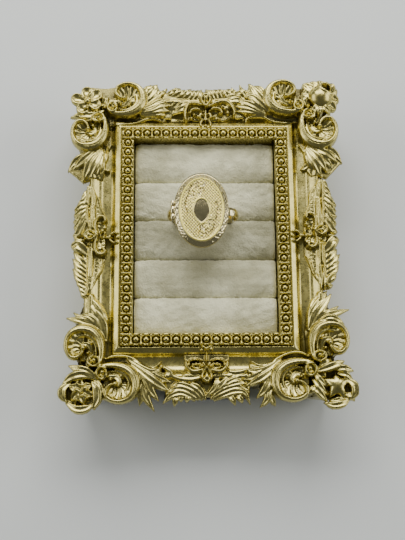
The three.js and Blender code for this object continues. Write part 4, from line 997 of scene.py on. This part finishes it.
def bead_border():
    """A chain of rings with a bead in each, pearls between them and a thin fillet at each edge."""
    half_x, half_y = BAND_MIDDLE, BAND_MIDDLE + RISE - 0.05
    out = BAND_OUT + 0.1
    step = 0.155
    relief = Relief(-out, out, -out - RISE, out + RISE, step)
    X, Y = relief.X, relief.Y
    side = np.abs(X) - half_x > np.abs(Y) - half_y
    pitch = np.where(side, 2 * half_y / BEADS_ALONG_SIDE, 2 * half_x / BEADS_ALONG_END)
    along = np.where(side, Y + half_y, X + half_x)
    over = np.where(side, np.abs(X) - half_x, np.abs(Y) - half_y)
    cell = (along / pitch + 0.5) % 1.0 - 0.5
    a = cell * pitch
    r = np.hypot(a, over)
    bead = BEAD_TOP - BEAD_R + np.sqrt(np.clip(BEAD_R**2 - r**2, 0, None))
    bead = np.where(r < 1.14, bead, 0)
    ring = BEAD_TOP - 1.05 + 0.4 * np.sqrt(np.clip(1 - ((r - BEAD_RING_R) / BEAD_RING_HALF) ** 2, 0, 1))
    ring = np.where(np.abs(r - BEAD_RING_R) < BEAD_RING_HALF, ring, 0)
    gap = pitch / 2 - np.abs(a)
    pearl_r = np.hypot(gap, np.abs(over) - 1.45)
    pearl = np.where(pearl_r < 0.55, BEAD_TOP - 0.7 + np.sqrt(np.clip(0.3 - pearl_r**2, 0, None)), 0)
    bar = np.where((gap < 0.34) & (np.abs(over) < 1.3), BEAD_TOP - 0.35 - 0.5 * (gap / 0.34) ** 2, 0)
    fillet = BEAD_TOP - 0.6 - 0.5 * ((np.abs(over) - FILLET_OFFSET) / FILLET_HALF) ** 2
    fillet = np.where(np.abs(np.abs(over) - FILLET_OFFSET) < FILLET_HALF, fillet, 0)
    floor = BAND_Z - 0.6
    relief.top = np.maximum.reduce([bead, ring, pearl, bar, fillet, np.full(X.shape, floor)])
    relief.top = relief.top + 0.05 * waves(X, Y, 5.0, 8)
    u = np.maximum(np.abs(X), np.abs(Y) - RISE)
    relief.reach = np.minimum(u - HALF_W - 0.02, BAND_OUT - 0.03 - u)
    return relief_object("bead_border", relief, lambda r, top: np.full(top.shape, BAND_Z - 1.6),
                         np.eye(2))


# ------------------------------------------------------------------ the velvet tray

def roll_loop(y0, y1, bottom, shoulder, crown):
    """A roll's outer section as an open line from the low bottom edge over the crown, which lies
    nearer the frame's top."""
    t = np.linspace(0, 1, 44)
    y = y0 + (y1 - y0) * (0.5 - 0.5 * np.sign(np.cos(math.pi * t)) * np.abs(np.cos(math.pi * t)) ** 0.8)
    z = shoulder + (crown - shoulder) * np.sin(math.pi * t**1.25) ** 0.75
    sides = 8
    low = [(y0, z) for z in np.linspace(bottom, shoulder, sides, endpoint=False)]
    high = [(y1, z) for z in np.linspace(shoulder, bottom, sides + 1)[1:]]
    return np.array(low + list(zip(y, z)) + high)


ring_low, ring_high = box_mm("ring_shank")
shank_middle = (ring_low + ring_high) / 2 - WINDOW
FINGER_R = (ring_high[0] - ring_low[0]) / 2 - SHANK_THICK
RING_Z = ring_low[2] + FINGER_R + SHANK_THICK
SHANK_X, SLOT_Y = shank_middle[0], shank_middle[1]


def make_room(points):
    """Presses velvet away from the ring's shank, which stands in the slot beside it."""
    from_ring = np.hypot(points[:, 0] - SHANK_X, points[:, 2] - RING_Z)
    near = np.exp(-((from_ring - FINGER_R - 0.7) / 1.6) ** 2)
    need = 1.48 * np.clip(near * 1.35, 0, 1)
    off = points[:, 1] - SLOT_Y
    side = np.where(off < 0, -1.0, 1.0)
    pressed = np.maximum(np.abs(off), need)
    points[:, 1] = SLOT_Y + side * pressed
    return points


pile = np.random.default_rng(11)


def velvet_roll(i):
    """One roll's velvet: a trough of cloth with a crowned, uneven top and a fuzz of pile."""
    node = f"velvet_sleeve_{i}"
    low, high = box_mm(node)
    low, high = low - WINDOW, high - WINDOW
    crown = high[2] + 0.1
    outer = roll_loop(low[1] - 0.08, high[1] + 0.08, low[2], high[2] - 2.6, crown)
    inner = roll_loop(low[1] + 1.0, high[1] - 1.0, low[2], high[2] - 4.6, crown - 1.0)[::-1]
    xs = np.linspace(low[0] + 0.1, high[0] - 0.1, 220)
    sections = []
    for x in xs:
        end = min(x - xs[0], xs[-1] - x)
        tuck = 0.9 * math.exp(-end / 0.8)
        y, z = outer[:, 0].copy(), outer[:, 1].copy()
        middle = (low[1] + high[1]) / 2
        y = middle + (y - middle) * (1 - tuck * 0.06)
        height = (z - low[2]) / (crown - low[2])
        z = z - tuck * height**3 * 1.1
        top = np.clip((z - high[2] + 4.5) / 4.5, 0, 1)
        X = np.full(len(y), x)
        z = z + top * (0.26 * waves(X, y, 11.0, 20 + i) + 0.13 * waves(X, y * 1.6, 4.2, 30 + i)
                       + 0.05 * waves(X, y * 2.2, 1.6, 35 + i))
        side = np.sign(y - middle)
        y = y + top * (0.16 * waves(X, z, 6.0, 40 + i) + 0.12 * waves(X, z, 1.9, 45 + i)) * side
        line = np.stack([X, y, z], axis=1)
        edge = np.exp(-np.minimum(y - low[1], high[1] - y) / 0.7)
        fuzz = pile.normal(0, 0.03, (len(y), 2)) * (top + 4.0 * edge * top)[:, None]
        line[:, 1:] += fuzz
        hollow = np.stack([np.full(len(inner), x), inner[:, 0], inner[:, 1]], axis=1)
        sections.append(np.vstack([line, hollow]))
    sections = np.array(sections)
    if i in (2, 3):
        sections = make_room(sections.reshape(-1, 3)).reshape(sections.shape)
    return u_sweep(f"velvet_roll_{i}", sections)


def u_sweep(name, sections):
    """A trough swept along: each section runs out along its outer line and back along its inner."""
    n, m = sections.shape[:2]
    half = m // 2
    faces = grid_faces(n, m, False)
    k = np.arange(half - 1)
    first = np.stack([k + 1, k, m - 1 - k, m - 2 - k], axis=1)
    last = first[:, ::-1] + (n - 1) * m
    return mesh_object(name, sections.reshape(-1, 3), np.vstack([faces, first, last])[:, ::-1])


def foam_stick(i):
    """The foam inside a roll, a little smaller than its velvet."""
    low, high = box_mm(f"foam_core_{i}")
    low, high = low - WINDOW, high - WINDOW
    line = roll_loop(low[1] + 0.1, high[1] - 0.1, low[2], high[2] - 3.6, high[2] - 0.15)
    xs = np.linspace(low[0] + 0.1, high[0] - 0.1, 90)
    sections = []
    for x in xs:
        X = np.full(len(line), x)
        dents = 0.06 * waves(X, line[:, 0] + line[:, 1], 2.3, 50 + i)
        sections.append(np.stack([X, line[:, 0] + dents, line[:, 1] + dents], axis=1))
    sections = np.array(sections)
    if i in (2, 3):
        sections = make_room(sections.reshape(-1, 3)).reshape(sections.shape)
    return capped_sweep(f"foam_stick_{i}", sections)


# ------------------------------------------------------------------ the ring

case_low, case_high = box_mm("locket_case")
HEAD_RY = (case_high[1] - case_low[1]) / 2
HEAD_RX = HEAD_RY * HEAD_SHAPE
HEAD_X = case_high[0] - HEAD_RX - WINDOW[0]
HEAD_Y = (case_high[1] + case_low[1]) / 2 - WINDOW[1]
LID_TOP = box_mm("locket_lid")[1][2]
LID_BOTTOM = SPLIT_Z + SPLIT_HALF_GAP


def oval_mesh(name, profile, wobble):
    """A profile of (inset from the outer oval, z) carried round the head's oval and closed."""
    angles = np.linspace(0, 2 * math.pi, 240, endpoint=False)
    loops = []
    for angle in angles:
        inset = np.array([p[0] for p in profile])
        z = np.array([p[1] for p in profile], float) + wobble(angle, inset)
        x = HEAD_X + (HEAD_RX - inset) * math.cos(angle)
        y = HEAD_Y + (HEAD_RY - inset) * math.sin(angle)
        loops.append(np.stack([x, y, z], axis=1))
    return swept_loop(name, loops)


def engraved_face(X, Y):
    """The cut of the lid's face: cross-hatching, but for a band of leaves that crosses it."""
    x, y = X - HEAD_X, Y - HEAD_Y
    way = np.where(x * y > 0, 1.0, -1.0)
    hatch = 0.17 * np.sin(7.0 * (0.8 * way * x - 0.7 * y))
    crossing = 0.05 * np.sin(8.0 * (0.8 * way * x + 0.7 * y))
    cut = hatch + crossing - 0.04
    leafy = (np.abs(x * 0.8 + y * 0.45) < 1.5) & (np.hypot(x / 5.2, y / 7.5) < 1)
    stipple = 0.12 * waves(X, Y, 0.9, 61) + 0.1 * waves(X, Y, 0.55, 62)
    cut = np.where(leafy, stipple, cut)
    return np.where(np.hypot(x / 7.0, y / 10.9) < 1, cut, 0)


LID_SCROLLS = [
    [[-0.6, 9.2], [-2.4, 8.6], [-3.9, 7.0], [-4.3, 5.2], [-3.2, 4.4], [-2.3, 5.3], [-3.0, 6.2]],
    [[-4.6, 4.4], [-5.3, 2.6], [-5.4, 0.6], [-4.9, -1.4]],
    [[-1.0, 4.6], [-0.2, 6.2], [-0.8, 7.8], [-2.0, 7.4]],
    [[0.6, -9.2], [2.6, -8.4], [4.0, -6.8], [4.4, -5.0], [3.2, -4.2], [2.3, -5.2], [3.1, -6.2]],
    [[4.6, -4.0], [5.3, -2.4], [5.4, 1.4], [4.6, 2.4]],
    [[1.0, -4.8], [0.2, -6.4], [0.8, -7.8], [2.0, -7.2]],
    [[-1.2, -8.8], [-0.4, -7.6], [-0.9, -6.2]],
    [[1.2, 8.9], [0.5, 7.7], [0.9, 6.4]],
]


# The lid's rim, as insets from its edge: its bevel, the rope inside that and the flat face.
BEVEL_LOW, BEVEL_HIGH = 0.3, 1.75
ROPE_INSET, ROPE_HALF = 2.05, 0.32
FLAT_INSET = 2.37


def locket_lid():
    """The lid: a bevelled oval with a beaded rim, an engraved face and a polished cartouche."""
    step = 0.1
    relief = Relief(HEAD_X - HEAD_RX - 0.3, HEAD_X + HEAD_RX + 0.3, HEAD_Y - HEAD_RY - 0.3,
                    HEAD_Y + HEAD_RY + 0.3, step)
    x, y = relief.X - HEAD_X, relief.Y - HEAD_Y
    angle = np.arctan2(y / HEAD_RY, x / HEAD_RX)
    e = np.hypot(x / HEAD_RX, y / HEAD_RY)
    inset = (1 - e) * np.hypot(HEAD_RX * np.cos(angle), HEAD_RY * np.sin(angle))
    relief.reach = inset
    inset = inset - 0.55 * np.clip(np.sin(angle), 0, 1)
    face = LID_TOP - 0.25
    wall = np.interp(inset, [0, BEVEL_LOW, BEVEL_HIGH, ROPE_INSET],
                     [LID_BOTTOM + 0.3, LID_BOTTOM + 0.6, face - 0.1, face])
    arc = angle / (2 * math.pi)
    veins = np.abs(np.sin(arc * 30 * math.pi + inset * 1.6))
    bevel = (inset > BEVEL_LOW) & (inset < BEVEL_HIGH)
    wall = np.where(bevel, wall - 0.12 * np.clip(1 - veins / 0.4, 0, 1) + 0.05 * waves(x, y, 0.8, 63),
                    wall)
    rope_r = inset - ROPE_INSET
    rope = face + 0.24 * np.sqrt(np.clip(1 - (rope_r / ROPE_HALF) ** 2, 0,
                                         1)) * (0.6 + 0.4 * np.abs(np.sin(arc * 96 * math.pi)))
    top = np.where(np.abs(rope_r) < ROPE_HALF, np.maximum(wall, rope), wall)
    dome = 0.18 * np.clip(1 - (x / 6.8) ** 2 - (y / 10.6) ** 2, 0, 1)
    flat = inset > FLAT_INSET
    top = np.where(flat, face + dome + engraved_face(relief.X, relief.Y), top)
    relief.top = top
    for line in LID_SCROLLS:
        groove(relief, [[HEAD_X + a, HEAD_Y + b] for a, b in line], 0.34, 0.3)
        for (ax, ay), (bx, by) in zip(line[:-1], line[1:]):
            mid = [HEAD_X + (ax + bx) / 2, HEAD_Y + (ay + by) / 2]
            out = [mid[0] + 0.35 * (by - ay), mid[1] - 0.35 * (bx - ax)]
            groove(relief, [mid, out], 0.26, 0.24)
    cut = relief.top - face - dome
    below = y + 0.85
    power = np.where(below > 0, 2.0, 1.5)
    pointed = (np.abs(x) / 2.75) ** power + (np.abs(below) / 4.2) ** power
    relief.top = np.where(pointed < 1.1, face + 0.16 * np.clip(1.1 - pointed, 0, 1), relief.top)
    rim = np.abs(pointed - 1.14)
    relief.top = np.where(rim < 0.13, face + 0.34 - 1.2 * rim, relief.top)
    # Frost is high on the engraved face's crests and low down its cuts, so the cuts take painted shade;
    # the rope and the cartouche's rim are frosted.
    frost_and_cut_shade = np.where((inset > FLAT_INSET) & (pointed > 1.3), np.clip(0.66 + 5.0 * cut, 0, 1), 0.0)
    frost_and_cut_shade = np.where((np.abs(rope_r) < ROPE_HALF) | (rim < 0.13), 0.9, frost_and_cut_shade)

    def under(r, t):
        shell = np.minimum(t - 0.75, LID_TOP - 0.95)
        return np.where(r.reach > 1.7, np.maximum(shell, LID_BOTTOM), LID_BOTTOM)
    return relief_object("engraved_lid", relief, under, np.eye(2), frost_and_cut_shade)


def groove(relief, points, half, depth):
    """Cuts a line into a relief."""
    path = smooth_path(points, 6)
    low, high = path.min(0) - half, path.max(0) + half
    at = relief.window(low[0], high[0], low[1], high[1])
    X, Y = relief.X[at], relief.Y[at]
    nearest = np.full(X.shape, 1e9)
    for a, b in zip(path[:-1], path[1:]):
        d = b - a
        t = np.clip(((X - a[0]) * d[0] + (Y - a[1]) * d[1]) / max(d @ d, 1e-12), 0, 1)
        nearest = np.minimum(nearest, np.hypot(X - a[0] - t * d[0], Y - a[1] - t * d[1]))
    relief.top[at] -= depth * np.clip(1 - nearest / half, 0, 1)


def locket_case():
    """The head's lower half: a shallow oval dish with a chased edge."""
    bottom = case_low[2]
    top = SPLIT_Z - SPLIT_HALF_GAP
    profile = [(0.0, top), (0.0, top - 0.35), (0.25, top - 0.5), (0.45, top - 0.9),
               (0.95, bottom + 0.5),
               (1.2, bottom + 0.15), (1.6, bottom), (3.5, bottom), (6.0, bottom), (8.9, bottom),
               (9.0, bottom + 0.4), (8.9, bottom + 0.8), (6.0, bottom + 0.8), (3.0, bottom + 0.8),
               (1.8, bottom + 0.8), (1.7, bottom + 1.0), (1.7, top - 0.1), (1.5, top)]
    fine = smooth_path(profile, 3)

    def waves_round(angle, inset):
        chased = (inset > 0.2) & (inset < 1.1)
        return np.where(chased, 0.09 * np.sin(angle * 60) * np.sin(inset * 4), 0)
    return oval_mesh("chased_case", fine, waves_round)


def knuckle(name, y0, y1):
    """One barrel of the locket's hinge: a tube with eased ends round the pin."""
    pin_low, pin_high = box_mm("locket_hinge_pin")
    x, z = (pin_low[0] + pin_high[0]) / 2 - WINDOW[0], (pin_low[2] + pin_high[2]) / 2
    ease = 0.08
    profile = [(PIN_CLEAR, y0), (KNUCKLE_R - ease, y0), (KNUCKLE_R, y0 + ease), (KNUCKLE_R, y1 - ease),
               (KNUCKLE_R - ease, y1), (PIN_CLEAR, y1)]
    turns = np.linspace(0, 2 * math.pi, 32, endpoint=False)
    return swept_loop(name, [[(x + r * math.cos(t), HEAD_Y + y, z + r * math.sin(t)) for r,
                              y in profile]
                             for t in turns])


# ------------------------------------------------------------------ materials

class Finish:
    """A material as it is made: its nodes, its links and its main shader."""

    def __init__(self, name, **plain):
        self.mat = bpy.data.materials.new(name)
        self.mat.use_nodes = True
        self.nodes, self.links = self.mat.node_tree.nodes, self.mat.node_tree.links
        self.shader = next(n for n in self.nodes if n.type == "BSDF_PRINCIPLED")
        self.set_inputs(self.shader, plain)

    @staticmethod
    def set_inputs(made, values):
        for key, value in values.items():
            made.inputs[key.replace("_", " ")].default_value = value

    def node(self, kind, **inputs):
        made = self.nodes.new(kind)
        self.set_inputs(made, inputs)
        return made

    def feed(self, name, source):
        self.links.new(source, self.shader.inputs[name])

    def noise(self, scale, detail=4.0, rough=0.55, stretch=None, distortion=0.0):
        """Noise in the object's own coordinates, drawn out where stretch gives each axis a scale."""
        place = self.node("ShaderNodeTexCoord").outputs["Object"]
        if stretch:
            drawn = self.node("ShaderNodeMapping", Scale=stretch)
            self.links.new(place, drawn.inputs["Vector"])
            place = drawn.outputs["Vector"]
        made = self.node("ShaderNodeTexNoise", Scale=scale, Detail=detail, Roughness=rough,
                         Distortion=distortion)
        self.links.new(place, made.inputs["Vector"])
        return made.outputs["Fac"]

    def mark(self, name):
        """A number that a mesh carries at each of its points."""
        made = self.nodes.new("ShaderNodeAttribute")
        made.attribute_name = name
        return made.outputs["Fac"]

    def ramp(self, source, *stops):
        """Colours, or greys given as one number, spread over a source's values."""
        made = self.nodes.new("ShaderNodeValToRGB")
        band = made.color_ramp
        while len(band.elements) < len(stops):
            band.elements.new(0.5)
        for element, (at, colour) in zip(band.elements, stops):
            element.position = at
            element.color = (*(colour if isinstance(colour, tuple) else (colour,) * 3), 1)
        self.links.new(source, made.inputs["Fac"])
        return made.outputs["Color"]

    def bump(self, source, strength, distance, under=None):
        made = self.node("ShaderNodeBump", Strength=strength, Distance=distance)
        self.links.new(source, made.inputs["Height"])
        if under:
            self.links.new(under, made.inputs["Normal"])
        self.feed("Normal", made.outputs["Normal"])
        return made.outputs["Normal"]

    def blend(self, factor, source, other):
        """Blends a colour towards a fixed one."""
        mix = self.nodes.new("ShaderNodeMix")
        mix.data_type = "RGBA"
        self.links.new(factor, mix.inputs["Factor"])
        a, b = (next(s for s in mix.inputs if s.name == side and s.type == "RGBA") for side in "AB")
        self.links.new(source, a)
        b.default_value = (*other, 1)
        return next(s for s in mix.outputs if s.type == "RGBA")

    def times(self, source, other):
        made = self.nodes.new("ShaderNodeMath")
        made.operation = "MULTIPLY"
        self.links.new(source, made.inputs[0])
        self.links.new(other, made.inputs[1])
        return made.outputs[0]


def gold_lacquer():
    """Champagne-gold lacquer on cast resin: metallic, uneven, and browner in its hollows, as patina and
    painted shade.
    """
    made = Finish("champagne_gold_lacquer", Metallic=1.0)
    high = made.ramp(made.noise(260.0, 5.0), (0.3, (0.46, 0.395, 0.125)), (0.55, (0.56, 0.49, 0.165)),
                     (0.8, (0.67, 0.595, 0.225)))
    # The hollow mark browns the recesses: partly patina, partly painted shade.
    made.feed("Base Color", made.blend(made.mark("hollow"), high, (0.12, 0.10, 0.045)))
    made.feed("Roughness", made.ramp(made.noise(900.0, 3.0), (0.3, 0.225), (0.75, 0.36)))
    coarse = made.bump(made.noise(500.0, 3.0), 0.16, 0.0003)
    made.bump(made.noise(3000.0, 2.0), 0.14, 0.0001, coarse)
    return made.mat


def velvet(name, light, dark, sheen):
    """Short pile, brushed sideways in uneven patches."""
    made = Finish(name, Roughness=0.95, Specular_IOR_Level=0.15, Sheen_Weight=sheen, Sheen_Roughness=0.45)
    nap = made.noise(1.0, 5.0, 0.6, (55.0, 150.0, 150.0), 0.6)
    made.feed("Base Color", made.ramp(made.times(nap, made.noise(75.0, 3.0)), (0.15, dark), (0.35, light)))
    tuft = made.bump(made.noise(1500.0, 4.0), 0.6, 0.0006)
    made.bump(made.noise(6500.0, 2.0), 0.5, 0.0002, tuft)
    return made.mat


def polished_gold(name, colour, rough, frosted):
    """Polished metal that is paler and duller where it is engraved, with painted shade down in the cuts.
    """
    made = Finish(name, Metallic=1.0)
    shade = made.ramp(made.noise(500.0, 3.0), (0.35, tuple(c * 0.93 for c in colour)), (0.7, colour))
    wear = made.ramp(made.noise(1600.0, 4.0), (0.35, rough * 0.7), (0.75, rough * 1.4))
    frost_and_cut_shade = made.mark("frost_and_cut_shade")
    # Low frost, down in the engraving's cuts, gives the darker polished colour there: painted shade.
    made.feed("Base Color", made.blend(frost_and_cut_shade, shade, frosted))
    made.feed("Roughness", made.blend(frost_and_cut_shade, wear, (0.42, 0.42, 0.42)))
    made.bump(made.noise(4200.0, 3.0), 0.12, 0.00005)
    return made.mat


def board(name, light, dark, scale):
    """A dull, fibrous board or foam."""
    made = Finish(name, Roughness=0.88)
    made.feed("Base Color", made.ramp(made.noise(scale, 6.0, 0.7), (0.3, dark), (0.7, light)))
    made.bump(made.noise(scale * 4, 4.0), 0.5, 0.0002)
    return made.mat


def brushed(name, colour, rough):
    """Metal strip with fine lines drawn along it."""
    made = Finish(name, Metallic=1.0)
    lines = made.noise(1.0, 3.0, 0.5, (300.0, 6000.0, 6000.0))
    made.feed("Base Color", made.ramp(lines, (0.3, tuple(c * 0.85 for c in colour)), (0.7, colour)))
    made.feed("Roughness", made.ramp(lines, (0.3, rough * 0.7), (0.7, rough * 1.3)))
    made.bump(lines, 0.2, 0.00005)
    return made.mat


def dress(obj, mat):
    obj.data.materials.clear()
    obj.data.materials.append(mat)


def dress_cad(names, mat):
    for name in names:
        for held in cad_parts[name].material_slots:
            held.material = mat


# ------------------------------------------------------------------ camera, light and floor

LENS = 67.07
CAMERA_AT = [-9.9, -104.13, 335.25 + BEAD_TOP]
LIGHT_TARGET = (0, 0, 0.015)
CAMERA_TURN = [(0.26386, "X"), (-0.02525, "Y"), (-0.00244, "Z")]


def camera():
    """At the photograph's viewing angle: well above, a little towards the frame's bottom."""
    data = bpy.data.cameras.new("camera")
    data.sensor_width = 36.0
    data.lens = LENS
    cam = bpy.data.objects.new("camera", data)
    bpy.context.scene.collection.objects.link(cam)
    tilt, lean, roll = (Matrix.Rotation(angle, 3, axis) for angle, axis in CAMERA_TURN)
    turn = tilt @ lean @ roll
    at = to_metres(CAMERA_AT)
    cam.matrix_world = Matrix.Translation(Vector(at)) @ turn.to_4x4()
    bpy.context.scene.camera = cam


def area_light(name, at, size, power):
    """A soft, faintly warm rectangle of light, aimed at the frame."""
    data = bpy.data.lights.new(name, "AREA")
    data.shape = "RECTANGLE"
    data.size, data.size_y = size
    data.energy = power
    data.color = (1.0, 0.99, 0.96)
    lamp = bpy.data.objects.new(name, data)
    lamp.location = at
    lamp.rotation_euler = (Vector(LIGHT_TARGET) - Vector(at)).to_track_quat("-Z", "Y").to_euler()
    bpy.context.scene.collection.objects.link(lamp)


def studio():
    """A pale floor, a dim sky and three soft lights, one of them a window beyond the frame's top."""
    world = bpy.data.worlds.new("studio")
    bpy.context.scene.world = world
    world.use_nodes = True
    back = world.node_tree.nodes["Background"]
    back.inputs["Color"].default_value = (0.84, 0.87, 0.86, 1)
    back.inputs["Strength"].default_value = 0.15
    area_light("window_light", (-0.02, 0.56, 0.51), (0.75, 0.42), 6.5)
    area_light("left_light", (-0.85, 0.10, 0.50), (0.8, 0.5), 4.0)
    area_light("right_light", (0.85, 0.12, 0.50), (0.8, 0.5), 4.5)
    made = Finish("pale_floor", Roughness=0.7)
    shade = made.ramp(made.noise(6.0, 2.0), (0.3, (0.72, 0.75, 0.74)), (0.7, (0.745, 0.775, 0.765)))
    made.feed("Base Color", shade)
    bpy.ops.mesh.primitive_plane_add(size=6.0, location=(0, 0, 0))
    floor = bpy.context.object
    floor.name = "pale_floor"
    dress(floor, made.mat)


# ------------------------------------------------------------------ the build

camera()
studio()

gold = gold_lacquer()
body = moulding_body()
beads = bead_border()
carved = [body, beads]

corners = [
    ("corner_bottom_left", (-1, -1), (41.3, 39.3, 7.1), (29.3, 52.5, 7.2), bottom_left_leaves),
    ("corner_bottom_right", (1, -1), (41.7, 37.7, 7.2), (28.8, 51.7, 7.6), bottom_right_leaves),
    ("corner_top_left", (-1, 1), (41.1, 37.4, 6.9), (27.3, 50.4, 6.9), top_left_leaves),
    ("corner_top_right", (1, 1), (41.1, 38.6, 7.3), (28.3, 51.4, 7.0), top_right_leaves),
]
for name, (sx, sy), side, end, foliage in corners:
    carved.append(corner_ornament(name, [[sx, 0], [0, sy]], side, end, foliage))

sides = [
    ("cartouche_left", [[0, -1], [1, 0]], left_side(), 0.0, 40.0, 46.0),
    ("cartouche_right", [[0, 1], [1, 0]], right_side(), 0.0, 40.2, 46.4),
    ("cartouche_top", [[1, 0], [0, 1]], top_side(), RISE, 49.8, 55.4),
    ("cartouche_bottom", [[1, 0], [0, -1]], bottom_side(), RISE, 50.2, 58.4),
]
for name, place, relief, rise, drop_at, edge in sides:
    carved.append(side_cartouche(name, place, relief, rise, drop_at, edge))

for piece in carved:
    dress(piece, gold)
    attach(piece, "frame")
    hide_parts("frame_casting")

sponge = board("cream_foam", (0.80, 0.74, 0.55), (0.62, 0.55, 0.38), 900.0)
for i in range(1, 6):
    cover = velvet_roll(i)
    # Each roll's colours are scaled by its nap and, on the third roll, also by a painted shadow of the
    # ring.
    light, dark = (tuple(c * NAP_AND_RING_SHADOW[i - 1] for c in shade) for shade in (IVORY_LIGHT, IVORY_DARK))
    dress(cover, velvet(f"ivory_velvet_{i}", light, dark, 0.4))
    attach(cover, "frame")
    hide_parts(f"velvet_sleeve_{i}")
    core = foam_stick(i)
    dress(core, sponge)
    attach(core, "frame")
    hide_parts(f"foam_core_{i}")

yellow = polished_gold("yellow_gold", (0.72, 0.63, 0.34), 0.17, (0.96, 0.83, 0.20))
lid = locket_lid()
dress(lid, yellow)
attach(lid, "locket_lid")
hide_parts("locket_lid")
case = locket_case()
dress(case, yellow)
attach(case, "ring")
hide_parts("locket_case")

for name, body, of_case, y0, y1 in (("case_knuckle_low", "ring", "locket_case", -3.3, -1.5),
                                    ("case_knuckle_high", "ring", "locket_case", 1.5, 3.3),
                                    ("lid_knuckle", "locket_lid", "locket_lid", -1.2, 1.2)):
    barrel = knuckle(name, y0, y1)
    dress(barrel, yellow)
    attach(barrel, body)
    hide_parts(of_case)

dress_cad(["ring_shank", "ring_shoulder_left", "ring_shoulder_right", "case_photo_rim", "lid_photo_rim",
           "locket_hinge_pin"], yellow)
dress_cad(["pad_board"], board("grey_card", (0.42, 0.39, 0.34), (0.30, 0.27, 0.23), 400.0))
dress_cad(["back_board"], board("fibreboard", (0.36, 0.25, 0.15), (0.24, 0.16, 0.09), 700.0))
dress_cad(["back_flock", "easel_strut"], velvet("black_flock", (0.035, 0.032, 0.03),
                                                (0.018, 0.016, 0.015), 0.5))
dress_cad([f"turn_button_{i}" for i in range(1, 5)] + [f"button_screw_{i}" for i in range(1, 5)],
          brushed("plated_brass", (0.75, 0.58, 0.28), 0.35))
dress_cad(["hinge_leaf_board", "hinge_leaf_strut", "hinge_pin", "board_rivet_1", "board_rivet_2",
           "strut_rivet_1", "strut_rivet_2"], brushed("zinc_steel", (0.58, 0.58, 0.57), 0.4))
